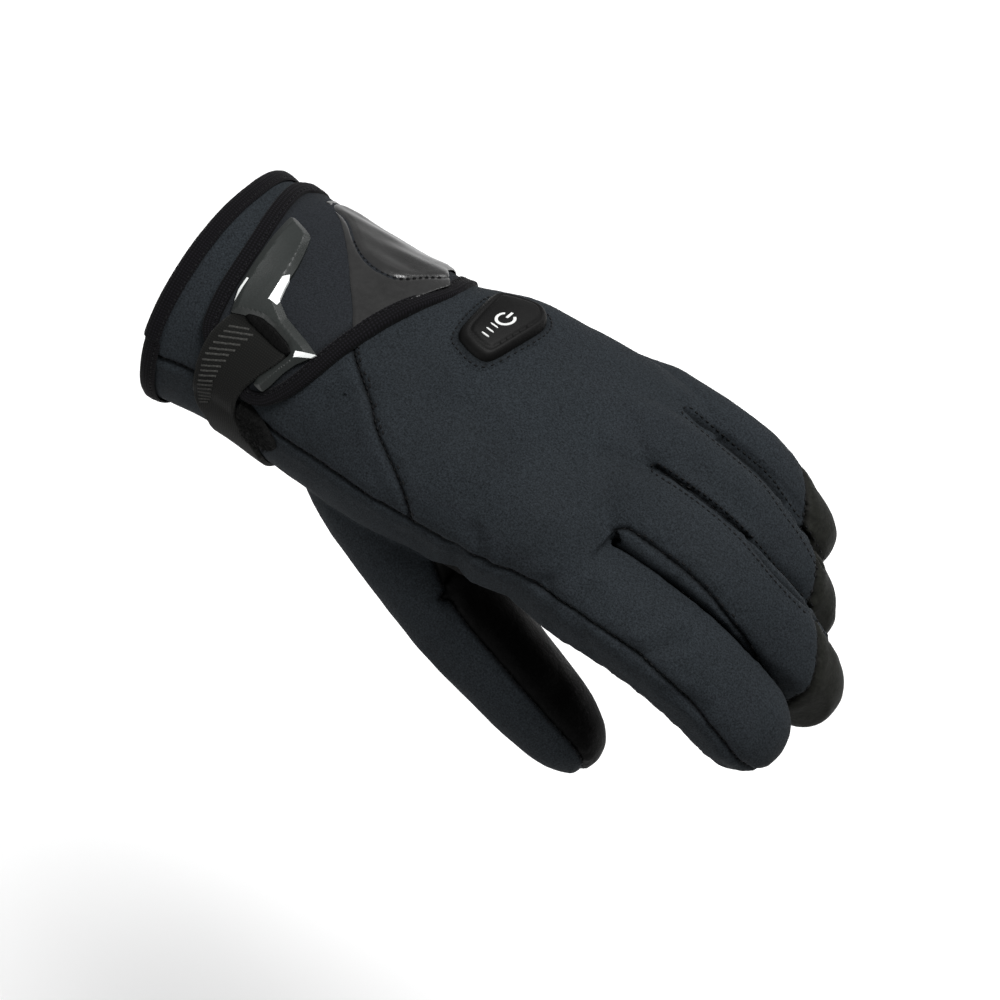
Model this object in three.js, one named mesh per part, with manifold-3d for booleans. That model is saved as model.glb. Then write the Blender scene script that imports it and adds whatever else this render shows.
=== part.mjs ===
// A left-hand heated winter glove in its worn shape, in millimetres.
// +X runs from the wrist to the fingertips, +Y to the little finger's side, +Z out of the back of the hand.
// The origin is the middle of the hollow at the wrist, where the closure strap goes round.
import * as THREE from "three";
import { mergeVertices } from "three/addons/utils/BufferGeometryUtils.js";
import Module from "manifold-3d";

const wasm = await Module();
wasm.setup();

// Body of the glove
const CUFF_LENGTH = 31.5;
const PALM_LENGTH = 142;
const BODY_WIDTH = 94;
const BODY_DEPTH = 74;
const WALL = 3;

// Digits: length from the root inside the palm to the tip, width across and depth
const INDEX_LENGTH = 127;
const MIDDLE_LENGTH = 142;
const RING_LENGTH = 126;
const LITTLE_LENGTH = 111;
const INDEX_WIDTH = 36;
const MIDDLE_WIDTH = 33;
const RING_WIDTH = 31;
const LITTLE_WIDTH = 28;
const FINGER_DEPTH = 32;
const THUMB_LENGTH = 138;
const THUMB_WIDTH = 42;

// Closure and trim
const BINDING_WIDTH = 6;
const BINDING_PROUD = 1;
const FLAP_THICK = 2;
const FILM_THICK = 0.9;
const ANCHOR_THICK = 3.2;
const STRAP_WIDTH = 24;
const STRAP_THICK = 1.6;
const BUTTON_LENGTH = 21;
const BUTTON_THICK = 2.6;
const BUTTON_CAP_THICK = 1.4;
const MARK_THICK = 0.6;

// Clearances
const SEAM = 0.3;
const SKIN_GAP = 0.7;
const FINGER_GAP = 0.8;

// Facets around an outer and an inner section
const BODY_SIDES = { outer: 2 * Math.round(BODY_WIDTH / 8.5), inner: 12 };
const DIGIT_SIDES = { outer: 12, inner: 7 };

const radians = THREE.MathUtils.degToRad;
const point = (x, y, z) => new THREE.Vector3(x, y, z);
const power = (value, exponent) => Math.sign(value) * Math.abs(value) ** exponent;
const clamp = (value) => Math.min(1, Math.max(0, value));

// A smooth value from a table of rows, by one of its columns.
function smooth(rows, key, column, at) {
  const last = rows.length - 1;
  if (at <= rows[0][key]) return rows[0][column];
  if (at >= rows[last][key]) return rows[last][column];
  let i = 0;
  while (rows[i + 1][key] < at) i++;
  const slope = (j) => {
    if (j <= 0 || j >= last) return 0;
    return (rows[j + 1][column] - rows[j - 1][column]) / (rows[j + 1][key] - rows[j - 1][key]);
  };
  const width = rows[i + 1][key] - rows[i][key];
  const t = (at - rows[i][key]) / width;
  const leave = (2 * t ** 3 - 3 * t ** 2 + 1) * rows[i][column];
  const arrive = (3 * t ** 2 - 2 * t ** 3) * rows[i + 1][column];
  return leave + arrive + width * ((t ** 3 - 2 * t ** 2 + t) * slope(i) + (t ** 3 - t ** 2) * slope(i + 1));
}

// Solid helpers: a closed mesh as a solid, and back.
function solidOf(points, faces) {
  let volume = 0;
  for (let f = 0; f < faces.length; f += 3) {
    const [a, b, c] = [points[faces[f]], points[faces[f + 1]], points[faces[f + 2]]];
    volume += a.dot(point(0, 0, 0).crossVectors(b, c));
  }
  const turned = volume < 0 ? faces.slice().reverse() : faces;
  const geometry = new THREE.BufferGeometry().setFromPoints(points);
  geometry.setIndex(turned);
  const merged = mergeVertices(geometry, 1e-4);
  const vertProperties = merged.attributes.position.array;
  const triVerts = new Uint32Array(merged.index.array);
  return new wasm.Manifold(new wasm.Mesh({ numProp: 3, vertProperties, triVerts }));
}

function geometryOf(solid) {
  const mesh = solid.getMesh();
  const geometry = new THREE.BufferGeometry();
  geometry.setAttribute("position", new THREE.BufferAttribute(new Float32Array(mesh.vertProperties), 3));
  geometry.setIndex(new THREE.BufferAttribute(new Uint32Array(mesh.triVerts), 1));
  geometry.computeVertexNormals();
  return geometry;
}

const union = (solids) => solids.reduce((all, solid) => all.add(solid));

// A closed solid through rings of the same number of points: capped at both ends, or joined end to end.
function loft(rings, closed = false) {
  const count = rings[0].length;
  const points = rings.flat();
  const faces = [];
  const spans = closed ? rings.length : rings.length - 1;
  for (let r = 0; r < spans; r++) {
    const here = r * count;
    const there = ((r + 1) % rings.length) * count;
    for (let k = 0; k < count; k++) {
      const next = (k + 1) % count;
      faces.push(here + k, here + next, there + next, here + k, there + next, there + k);
    }
  }
  if (!closed) {
    const middle = (ring) => ring.reduce((sum, p) => sum.add(p), point(0, 0, 0)).divideScalar(count);
    const first = points.push(middle(rings[0])) - 1;
    const last = points.push(middle(rings[rings.length - 1])) - 1;
    const end = (rings.length - 1) * count;
    for (let k = 0; k < count; k++) {
      const next = (k + 1) % count;
      faces.push(first, next, k, last, end + k, end + next);
    }
  }
  return solidOf(points, faces);
}

// A closed slab between two grids of points of the same shape.
function slab(lower, upper) {
  const rows = lower.length;
  const count = lower[0].length;
  const points = [...lower.flat(), ...upper.flat()];
  const faces = [];
  const low = (r, k) => r * count + k;
  const high = (r, k) => rows * count + r * count + k;
  const quad = (a, b, c, d) => faces.push(a, b, c, a, c, d);
  for (let r = 0; r + 1 < rows; r++) {
    for (let k = 0; k + 1 < count; k++) {
      quad(low(r, k), low(r, k + 1), low(r + 1, k + 1), low(r + 1, k));
      quad(high(r, k), high(r + 1, k), high(r + 1, k + 1), high(r, k + 1));
    }
    quad(low(r, 0), low(r + 1, 0), high(r + 1, 0), high(r, 0));
    quad(low(r, count - 1), high(r, count - 1), high(r + 1, count - 1), low(r + 1, count - 1));
  }
  for (let k = 0; k + 1 < count; k++) {
    quad(low(0, k), high(0, k), high(0, k + 1), low(0, k + 1));
    quad(low(rows - 1, k), low(rows - 1, k + 1), high(rows - 1, k + 1), high(rows - 1, k));
  }
  return solidOf(points, faces);
}

// A straight prism of an outline given as pairs, in the plane across one axis, between two heights on it.
function prism(outline, axis, from, to) {
  const place = (u, v, w) => (axis === "z" ? point(u, v, w) : point(u, w, v));
  const ring = (w) => outline.map(([u, v]) => place(u, v, w));
  const triangles = THREE.ShapeUtils.triangulateShape(outline.map(([u, v]) => new THREE.Vector2(u, v)), []);
  const count = outline.length;
  const faces = [];
  for (const [a, b, c] of triangles) faces.push(a, c, b, a + count, b + count, c + count);
  const clockwise = THREE.ShapeUtils.isClockWise(outline.map(([u, v]) => new THREE.Vector2(u, v)));
  for (let k = 0; k < count; k++) {
    const next = (k + 1) % count;
    if (clockwise) faces.push(k, next + count, next, k, k + count, next + count);
    else faces.push(k, next, next + count, k, next + count, k + count);
  }
  return solidOf([...ring(from), ...ring(to)], faces);
}

// Sections of the body from the cuff's edge (-1) over the wrist (0) to the webs of the fingers (1).
// side, width: shares of BODY_WIDTH; rise, depth: shares of BODY_DEPTH; tilt in degrees; skew leans it in X.
const BODY = [
  { along: -1.0, side: -0.03, rise: -0.01, width: 0.477, depth: 0.475, square: 2.05, tilt: 0, skew: -0.09 },
  { along: -0.5, side: -0.02, rise: -0.01, width: 0.465, depth: 0.45, square: 2.05, tilt: 0, skew: -0.09 },
  { along: 0.0, side: -0.01, rise: 0.0, width: 0.455, depth: 0.43, square: 2.1, tilt: 0, skew: -0.06 },
  { along: 0.28, side: 0.005, rise: 0.01, width: 0.47, depth: 0.44, square: 2.2, tilt: 0, skew: 0 },
  { along: 0.46, side: 0.06, rise: 0.03, width: 0.53, depth: 0.42, square: 2.3, tilt: -4, skew: 0 },
  { along: 0.64, side: 0.1, rise: 0.02, width: 0.54, depth: 0.39, square: 2.4, tilt: -8, skew: 0 },
  { along: 0.82, side: 0.12, rise: 0.02, width: 0.53, depth: 0.35, square: 2.5, tilt: -12, skew: 0 },
  { along: 0.93, side: 0.13, rise: 0.04, width: 0.51, depth: 0.3, square: 2.5, tilt: -14, skew: 0 },
  { along: 1.0, side: 0.13, rise: 0.06, width: 0.48, depth: 0.22, square: 2.5, tilt: -14, skew: 0 },
];

// The point of the body's surface at a share along it and a turn about its middle, moved out by a height.
function onBody(along, turn, height) {
  const at = (column) => smooth(BODY, "along", column, along);
  const tilt = radians(at("tilt"));
  const across = (at("width") * BODY_WIDTH + height) * power(Math.cos(turn), 2 / at("square"));
  const up = (at("depth") * BODY_DEPTH + height) * power(Math.sin(turn), 2 / at("square"));
  const y = across * Math.cos(tilt) - up * Math.sin(tilt);
  const z = across * Math.sin(tilt) + up * Math.cos(tilt);
  const x = along < 0 ? along * CUFF_LENGTH : along * PALM_LENGTH;
  return point(x + at("skew") * y, y + at("side") * BODY_WIDTH, z + at("rise") * BODY_DEPTH);
}

const fullTurn = (sides) => Array.from({ length: sides }, (_, k) => (k / sides) * 2 * Math.PI);
const sidesFor = (sides, inset) => fullTurn(inset > 0 ? sides.inner : sides.outer);
const bodyRing = (along, inset) => sidesFor(BODY_SIDES, inset).map((turn) => onBody(along, turn, -inset));

const BODY_STEPS = [-0.5, 0, 0.14, 0.28, 0.37, 0.46, 0.55, 0.64, 0.73, 0.82, 0.93, 1];
const CUFF_SEAM = (BINDING_WIDTH + SEAM) / CUFF_LENGTH - 1;
const PAST_CUFF = 20;

function bodySolid(inset) {
  const end = 1 - inset / PALM_LENGTH;
  const rings = BODY_STEPS.map((step) => bodyRing(Math.min(step, end), inset));
  const first = bodyRing(inset > 0 ? -1 : CUFF_SEAM, inset);
  rings.unshift(first);
  if (inset > 0) rings.unshift(first.map((p) => point(p.x - PAST_CUFF, p.y, p.z)));
  return loft(rings);
}

// Fingers: their roots inside the palm as shares of PALM_LENGTH, BODY_WIDTH and BODY_DEPTH, and their pitch
// down, in degrees, at shares of their length.
const FINGERS = [
  {
    name: "index", length: INDEX_LENGTH, width: INDEX_WIDTH, depth: 1.09 * FINGER_DEPTH,
    root: { along: 0.704, side: -0.223, rise: 0.054 },
    pitch: [
      { at: 0, down: -2 }, { at: 0.4, down: -2 }, { at: 0.55, down: 8 },
      { at: 0.7, down: 26 }, { at: 0.85, down: 38 }, { at: 1, down: 55 },
    ],
  },
  {
    name: "middle", length: MIDDLE_LENGTH, width: MIDDLE_WIDTH, depth: FINGER_DEPTH,
    root: { along: 0.704, side: 0.075, rise: 0.176 },
    pitch: [
      { at: 0, down: 0 }, { at: 0.35, down: 2 }, { at: 0.5, down: 14 },
      { at: 0.65, down: 38 }, { at: 0.85, down: 56 }, { at: 1, down: 78 },
    ],
  },
  {
    name: "ring", length: RING_LENGTH, width: RING_WIDTH, depth: 0.94 * FINGER_DEPTH,
    root: { along: 0.676, side: 0.33, rise: 0.135 },
    pitch: [
      { at: 0, down: 0 }, { at: 0.35, down: 4 }, { at: 0.5, down: 20 },
      { at: 0.65, down: 44 }, { at: 0.85, down: 58 }, { at: 1, down: 66 },
    ],
  },
  {
    name: "little", length: LITTLE_LENGTH, width: LITTLE_WIDTH, depth: 0.875 * FINGER_DEPTH,
    root: { along: 0.592, side: 0.564, rise: -0.122 },
    pitch: [
      { at: 0, down: -1 }, { at: 0.45, down: -1 }, { at: 0.6, down: 12 },
      { at: 0.75, down: 32 }, { at: 0.85, down: 42 }, { at: 1, down: 60 },
    ],
  },
];
const DIGIT_SQUARE = 2.3;
const TIP_ROUND = 0.5;
const TIP_TAPER = 0.16;
const TIP_CLEAR = 0.02;
const TIP_BLUNT = 0.12;
const ROUTE_STEPS = 60;

// The middle line of a finger, as points and directions at even shares of its length.
function fingerRoute(finger) {
  const { along, side, rise } = finger.root;
  const at = point(along * PALM_LENGTH, side * BODY_WIDTH, rise * BODY_DEPTH);
  const route = [];
  for (let i = 0; i <= ROUTE_STEPS; i++) {
    const down = radians(smooth(finger.pitch, "at", "down", i / ROUTE_STEPS));
    const direction = point(Math.cos(down), 0, -Math.sin(down));
    route.push({ at: at.clone(), direction });
    at.addScaledVector(direction, finger.length / ROUTE_STEPS);
  }
  return route;
}
for (const finger of FINGERS) finger.route = fingerRoute(finger);

const FINGER_STEPS = { outer: [0, 0.36, 0.48, 0.59, 0.7, 0.8], inner: [0, 0.38, 0.54, 0.7] };
const TIP_STEPS = { outer: [0, 0.55, 0.85, 1], inner: [0, 0.7, 1] };
const ROOT_SHRINK = 0.7;
const PRESS_LEAN = 0.6;

// Height of a finger's middle line over a place along X, past its tip too.
function fingerHeight(finger, x) {
  const { route } = finger;
  let i = 0;
  while (i < ROUTE_STEPS - 1 && route[i + 1].at.x < x) i++;
  const t = (x - route[i].at.x) / (route[i + 1].at.x - route[i].at.x);
  const past = i === ROUTE_STEPS - 1 ? Math.min(t, 4) : t;
  return route[i].at.z + past * (route[i + 1].at.z - route[i].at.z);
}

const fingerSide = (finger) => finger.root.side * BODY_WIDTH;
const pressSide = (finger, neighbour) => {
  const share = finger.width / (finger.width + neighbour.width);
  return fingerSide(finger) + share * (fingerSide(neighbour) - fingerSide(finger));
};

// A point of a finger moved back to the flat face where the finger presses on its neighbour.
function press(p, finger, neighbour, clearance) {
  const here = point(p.x, fingerSide(finger), fingerHeight(finger, p.x));
  const there = point(p.x, fingerSide(neighbour), fingerHeight(neighbour, p.x));
  const share = finger.width / (finger.width + neighbour.width);
  const lean = there.clone().sub(here);
  lean.z *= PRESS_LEAN;
  lean.normalize();
  const over = p.clone().sub(here.lerp(there, share)).dot(lean) + clearance;
  if (over > 0) p.addScaledVector(lean, -over);
}

function fingerSolid(finger, inset) {
  const half = finger.width / 2;
  const tip = (finger.width * TIP_ROUND) / finger.length;
  const last = 1 - inset / finger.length;
  const kind = inset > 0 ? "inner" : "outer";
  const steps = FINGER_STEPS[kind].filter((s) => s < last - tip - TIP_CLEAR);
  for (const t of TIP_STEPS[kind]) steps.push(last - tip + tip * t);
  const place = FINGERS.indexOf(finger);
  const neighbours = [FINGERS[place - 1], FINGERS[place + 1]].filter(Boolean);
  const rings = steps.map((share) => {
    const step = Math.min(share * ROUTE_STEPS, ROUTE_STEPS - 1e-6);
    const before = finger.route[Math.floor(step)];
    const after = finger.route[Math.floor(step) + 1];
    const middle = before.at.clone().lerp(after.at, step % 1);
    const direction = before.direction.clone().lerp(after.direction, step % 1).normalize();
    const rise = point(-direction.z, 0, direction.x);
    const over = clamp((share - (last - tip)) / tip);
    const round = Math.max(TIP_BLUNT, Math.sqrt(1 - over ** 2));
    const root = share === 0 ? ROOT_SHRINK : 1;
    const shrink = (1 - TIP_TAPER * share ** 2) * round * root;
    return sidesFor(DIGIT_SIDES, inset).map((turn) => {
      const across = (half - inset) * shrink * power(Math.cos(turn), 2 / DIGIT_SQUARE);
      const up = (finger.depth / 2 - inset) * shrink * power(Math.sin(turn), 2 / DIGIT_SQUARE);
      const p = middle.clone().addScaledVector(rise, up).add(point(0, across, 0));
      for (const neighbour of neighbours) press(p, finger, neighbour, FINGER_GAP / 2 + inset);
      return p;
    });
  });
  return loft(rings);
}

// Thumb: places as shares of THUMB_LENGTH from its root, and half sizes as shares of THUMB_WIDTH.
const THUMB_ROOT = { along: 0.197, side: -0.149, rise: -0.108 };
const THUMB = [
  { x: 0.0, y: 0.0, z: 0.0, half: 0.42, high: 0.42 },
  { x: 0.196, y: -0.058, z: -0.073, half: 0.54, high: 0.515 },
  { x: 0.377, y: -0.116, z: -0.145, half: 0.5, high: 0.475 },
  { x: 0.558, y: -0.167, z: -0.21, half: 0.45, high: 0.43 },
  { x: 0.717, y: -0.188, z: -0.275, half: 0.415, high: 0.405 },
  { x: 0.862, y: -0.203, z: -0.333, half: 0.375, high: 0.357 },
  { x: 0.942, y: -0.214, z: -0.362, half: 0.298, high: 0.286 },
  { x: 0.985, y: -0.221, z: -0.38, half: 0.18, high: 0.17 },
  { x: 1.0, y: -0.224, z: -0.386, half: 0.07, high: 0.07 },
];

function thumbSolid(inset, from = 0) {
  const root = point(
    THUMB_ROOT.along * PALM_LENGTH,
    THUMB_ROOT.side * BODY_WIDTH,
    THUMB_ROOT.rise * BODY_DEPTH,
  );
  const places = THUMB.map((row) => point(row.x, row.y, row.z).multiplyScalar(THUMB_LENGTH).add(root));
  const rings = THUMB.map((row, i) => {
    const before = places[Math.max(0, i - 1)];
    const after = places[Math.min(THUMB.length - 1, i + 1)];
    const direction = after.clone().sub(before).normalize();
    const side = point(0, 1, 0).addScaledVector(direction, -direction.y).normalize();
    const rise = point(0, 0, 0).crossVectors(direction, side);
    const middle = places[i].clone();
    if (i > THUMB.length - 4) middle.addScaledVector(direction, -inset);
    return sidesFor(DIGIT_SIDES, inset).map((turn) => {
      const across = Math.max(1, row.half * THUMB_WIDTH - inset) * Math.cos(turn);
      const up = Math.max(1, row.high * THUMB_WIDTH - inset) * Math.sin(turn);
      return middle.clone().addScaledVector(side, across).addScaledVector(rise, up);
    });
  });
  return loft(rings.slice(from));
}

// The hollow shell of the whole glove, open at the cuff.
const outer = union([bodySolid(0), thumbSolid(0), ...FINGERS.map((finger) => fingerSolid(finger, 0))]);
const inner = union([
  bodySolid(WALL),
  thumbSolid(WALL),
  ...FINGERS.map((finger) => fingerSolid(finger, WALL)),
]);
const shell = outer.subtract(inner);

// The largest bodies of a cut, without crumbs of wall.
const bodiesOf = (solid, count) => solid.decompose().sort((a, b) => b.volume() - a.volume()).slice(0, count);
const largest = (solid) => bodiesOf(solid, 1)[0];

// Height of the seam between the back of the glove and its side and palm, as shares of BODY_DEPTH.
const SIDE_SEAM = [
  { along: -1.0, thumb: 0.18, little: -0.05 },
  { along: 0.0, thumb: 0.19, little: -0.05 },
  { along: 0.23, thumb: 0.17, little: -0.05 },
  { along: 0.45, thumb: 0.21, little: -0.08 },
  { along: 0.66, thumb: 0.2, little: -0.12 },
];
const SEAM_RISE = [
  { thumbSide: 12, littleSide: 1 },
  { thumbSide: 7, littleSide: 1 },
  { thumbSide: 6, littleSide: 0 },
  { thumbSide: 5, littleSide: 0 },
];
const THUMB_EDGE = -0.43;
const LITTLE_EDGE = 0.63;
const BODY_END = 0.66;
const FINGERS_START = 0.96;

// Fourchettes: the strips down the facing sides of the fingers.
const STRIP_HALF = 6;
const STRIP_START = 0.97;
const STRIP_GROW = 8;
const STRIP_TAPER = 14;
const CAP_SHARE = 0.86;
const CAP_HEIGHT = 60;
const CAP_JUMP = 0.1;

const sideRise = (x, column) => {
  const along = x < 0 ? x / CUFF_LENGTH : x / PALM_LENGTH;
  return smooth(SIDE_SEAM, "along", column, along) * BODY_DEPTH;
};

// Where the leather cap of a finger starts on its back; the index finger has none there.
function capEdge(finger) {
  if (finger.name === "index") return Infinity;
  const { at, direction } = finger.route[Math.round(CAP_SHARE * ROUTE_STEPS)];
  return at.x - (direction.z * finger.depth) / 2;
}

function seamHeight(x, y, finger) {
  const across = clamp((y / BODY_WIDTH - THUMB_EDGE) / (LITTLE_EDGE - THUMB_EDGE));
  const body = sideRise(x, "thumb") * (1 - across) + sideRise(x, "little") * across;
  const blend = clamp((x / PALM_LENGTH - BODY_END) / (FINGERS_START - BODY_END));
  if (blend === 0) return body;
  const cap = x > capEdge(finger) ? CAP_HEIGHT : 0;
  const rise = SEAM_RISE[FINGERS.indexOf(finger)];
  const lift = y < fingerSide(finger) ? rise.thumbSide : rise.littleSide;
  return body * (1 - blend) + blend * (fingerHeight(finger, x) + lift) + cap;
}

function stripHalf(x, y, finger) {
  const outside = finger === FINGERS[0] ? y < fingerSide(finger) : y > fingerSide(finger);
  if (outside && (finger === FINGERS[0] || finger === FINGERS[3])) return 0;
  const tip = finger.route[ROUTE_STEPS].at.x - finger.width / 2;
  const grow = clamp((x - STRIP_START * PALM_LENGTH) / STRIP_GROW);
  return STRIP_HALF * grow * clamp((tip - x) / STRIP_TAPER);
}

// A grid of points on the seam's surface, moved by a share of the strips' half height and a step up or down.
const FIELD_EDGE = 95;
const FIELD_STEP = 20;
const FIELD_JUMP = 0.3;

function seamField(strip, step) {
  const [index, little] = [FINGERS[0], FINGERS[3]];
  const columns = [
    { y: -FIELD_EDGE, finger: index },
    { y: fingerSide(index) - index.width / 3, finger: index },
  ];
  for (let i = 0; i < 3; i++) {
    const side = pressSide(FINGERS[i], FINGERS[i + 1]);
    columns.push({ y: side - FIELD_JUMP, finger: FINGERS[i] });
    columns.push({ y: side + FIELD_JUMP, finger: FINGERS[i + 1] });
  }
  columns.push({ y: fingerSide(little) + little.width / 3, finger: little });
  columns.push({ y: FIELD_EDGE, finger: little });
  const end = PALM_LENGTH + INDEX_LENGTH;
  const places = [-2 * CUFF_LENGTH, ...SIDE_SEAM.slice(1, -1).map((row) => row.along * PALM_LENGTH)];
  for (let x = BODY_END * PALM_LENGTH; x < end; x += FIELD_STEP) places.push(x);
  for (const finger of FINGERS.slice(1)) places.push(capEdge(finger) - CAP_JUMP, capEdge(finger) + CAP_JUMP);
  places.sort((a, b) => a - b);
  return places.map((x) =>
    columns.map(({ y, finger }) =>
      point(x, y, seamHeight(x, y, finger) + strip * stripHalf(x, y, finger) + step)),
  );
}

const FAR = 1.2 * PALM_LENGTH;
const flatGrid = (grid, z) => grid.map((row) => row.map((p) => point(p.x, p.y, z)));
const overField = (grid) => slab(grid, flatGrid(grid, FAR));
const underField = (grid) => slab(flatGrid(grid, -FAR), grid);

const backHalf = shell.intersect(overField(seamField(1, SEAM / 2)));
const palmHalf = shell.intersect(underField(seamField(-1, -SEAM / 2)));
const strips = shell
  .subtract(overField(seamField(1, -SEAM / 2)))
  .subtract(underField(seamField(-1, SEAM / 2)));
const fourchettes = bodiesOf(strips, FINGERS.length - 1);

// The seam that runs over the back of the wrist: x as a share of PALM_LENGTH, y as a share of BODY_WIDTH.
const WRIST_SEAM = [
  [0.60, -0.44], [0.55, -0.383], [0.482, -0.33], [0.419, -0.276],
  [0.377, -0.223], [0.32, -0.166], [0.257, -0.094], [0.22, 0.0], [0.21, 0.7],
];

function wristZone(grow) {
  const edge = WRIST_SEAM.map(([x, y]) => [x * PALM_LENGTH + grow, y * BODY_WIDTH + grow]);
  const last = edge[edge.length - 1];
  return prism([[-FAR, -FAR], [edge[0][0], -FAR], ...edge, [last[0], FAR], [-FAR, FAR]], "z", -FAR, FAR);
}

// The softshell of the side: the outer half of the thumb and the outer side of the index finger.
const THUMB_SEAM = [
  [-1.0, -0.24], [0.0, -0.24], [0.21, -0.22], [0.42, -0.28], [0.6, -0.36],
  [0.74, -0.455], [0.89, -0.49], [1.03, -0.51], [1.11, -0.515], [1.35, -0.51],
];
const THUMB_TOP = -0.24;
const THUMB_FREE = 0.7;
const INDEX_STRIP = 8;
const INDEX_LAP = 6;

function sideZone(grow) {
  const edge = THUMB_SEAM.map(([x, y]) => [x * PALM_LENGTH, y * BODY_WIDTH + grow]);
  const [first, last] = [edge[0], edge[edge.length - 1]];
  const outline = [[-FAR, -FAR], [last[0], -FAR], ...edge.reverse(), [-FAR, first[1]]];
  const beside = prism(outline, "z", -FAR, FAR);
  const free = THUMB_FREE * PALM_LENGTH + grow;
  const top = THUMB_TOP * BODY_DEPTH;
  const below = [[-FAR, -FAR], [2 * FAR, -FAR], [2 * FAR, top], [free, top], [free, FAR], [-FAR, FAR]];
  const base = beside.intersect(prism(below, "y", -FAR, FAR));
  const index = FINGERS[0];
  const start = THUMB_FREE * PALM_LENGTH - INDEX_LAP;
  const tip = PALM_LENGTH + INDEX_LENGTH;
  const strip = [[start, FAR]];
  for (let x = start; x < tip; x += FIELD_STEP) strip.push([x, fingerHeight(index, x) - INDEX_STRIP - grow]);
  strip.push([tip, FAR]);
  return base.add(prism(strip, "y", -FAR, fingerSide(index) + grow));
}

// The leather on the inner half of the thumb.
const THUMB_GROW = 4;
const THUMB_PATCH_FROM = 2;
const THUMB_PATCH_TOP = -0.186;
const THUMB_PATCH = [[0.7, -0.5], [0.69, -0.36], [0.86, -0.1], [1.4, -0.1], [1.4, -0.7], [0.9, -0.7]];

function thumbZone(grow) {
  const outline = THUMB_PATCH.map(([x, y]) => [x * PALM_LENGTH - grow, y * BODY_WIDTH + grow]);
  const below = prism(outline, "z", -FAR, THUMB_PATCH_TOP * BODY_DEPTH);
  return thumbSolid(-THUMB_GROW, THUMB_PATCH_FROM).intersect(below);
}

const leather = palmHalf.subtract(sideZone(SEAM));
const panels = {
  wrist_panel: largest(backHalf.intersect(wristZone(0))),
  back_panel: largest(backHalf.subtract(wristZone(SEAM))),
  side_panel: largest(palmHalf.intersect(sideZone(0))),
  thumb_patch: largest(leather.intersect(thumbZone(0))),
  palm_panel: largest(leather.subtract(thumbZone(SEAM))),
  fourchette_1: fourchettes[0],
  fourchette_2: fourchettes[1],
  fourchette_3: fourchettes[2],
};

// Bands laid on the body: rows of a turn in degrees and the two edges as shares along the body.
const BAND_STEP = 8;
const alongOf = (x) => (x < 0 ? x / CUFF_LENGTH : x / PALM_LENGTH);
const xOf = (along) => (along < 0 ? along * CUFF_LENGTH : along * PALM_LENGTH);

function bandOnBody(rows, low, high, columns = 3) {
  const start = rows[0].turn;
  const end = rows[rows.length - 1].turn;
  const count = Math.max(2, Math.ceil((end - start) / BAND_STEP));
  const grid = (height) =>
    Array.from({ length: count + 1 }, (_, i) => {
      const turn = start + ((end - start) * i) / count;
      const back = xOf(smooth(rows, "turn", "back", turn));
      const front = xOf(smooth(rows, "turn", "front", turn));
      const rise = typeof height === "function" ? height(turn) : height;
      return Array.from({ length: columns + 1 }, (_, k) =>
        onBody(alongOf(back + ((front - back) * k) / columns), radians(turn), rise));
    });
  return slab(grid(low), grid(high));
}

// Closure flap over the back of the wrist, from the little finger's side to the thumb's side.
const FLAP = [
  { turn: -20, back: -0.637, front: 0.31 },
  { turn: 46, back: -0.637, front: 0.335 },
  { turn: 60, back: -0.599, front: 0.342 },
  { turn: 66, back: -0.581, front: 0.328 },
  { turn: 79, back: -0.534, front: 0.306 },
  { turn: 90, back: -0.492, front: 0.285 },
  { turn: 100, back: -0.492, front: 0.264 },
  { turn: 112, back: -0.492, front: 0.25 },
  { turn: 127, back: -0.431, front: 0.222 },
  { turn: 136, back: -0.375, front: 0.2 },
  { turn: 142, back: -0.262, front: 0.17 },
  { turn: 147, back: -0.094, front: 0.12 },
];
const DEGREES_PER_MM = 1.3;
const FLAP_LOW = SKIN_GAP;
const FLAP_HIGH = FLAP_LOW + FLAP_THICK;
const BINDING_HIGH = FLAP_HIGH + BINDING_PROUD;
const ON_FLAP = FLAP_HIGH + SKIN_GAP;

// The flap's outline drawn in from its bound edges.
function flapRows(inset) {
  const last = FLAP[FLAP.length - 1].turn - inset * DEGREES_PER_MM;
  const rows = FLAP.filter((row) => row.turn < last - 2);
  const end = {
    turn: last,
    back: smooth(FLAP, "turn", "back", last),
    front: smooth(FLAP, "turn", "front", last),
  };
  return [...rows, end].map((row) => ({
    turn: row.turn,
    back: alongOf(xOf(row.back) + inset),
    front: alongOf(xOf(row.front) - inset),
  }));
}

const flapWindow = bandOnBody(flapRows(BINDING_WIDTH - SEAM), -WALL, BINDING_HIGH + WALL, 1);
const flap = bandOnBody(flapRows(BINDING_WIDTH), FLAP_LOW, FLAP_HIGH);
const flapBinding = bandOnBody(flapRows(0), FLAP_LOW, BINDING_HIGH, 3).subtract(flapWindow);

// The glossy film on the flap, up to the bound front edge.
const FILM_BACK = [
  { turn: -14, back: -0.281 },
  { turn: 45, back: -0.178 },
  { turn: 63, back: 0.06 },
  { turn: 81, back: 0.158 },
  { turn: 92, back: 0.212 },
];
const filmRows = FILM_BACK.map(({ turn, back }) => ({
  turn,
  back,
  front: alongOf(xOf(smooth(FLAP, "turn", "front", turn)) - BINDING_WIDTH - 2 * SEAM),
}));
const film = bandOnBody(filmRows, ON_FLAP, ON_FLAP + FILM_THICK);

// The moulded anchor: three arms, each between two edges, as shares along the body and turns in degrees.
const ANCHOR = [
  [[[-0.3, 69], [-0.016, 72]], [[-0.234, 117], [0.056, 104]]],
  [[[0.03, 99], [-0.019, 111]], [[0.196, 110.5], [0.155, 114.5]]],
  [[[0.198, 110.5], [0.15, 113.5]], [[0.14, 136.5], [0.102, 135.5]]],
];
const ANCHOR_STEPS = 5;

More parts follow.
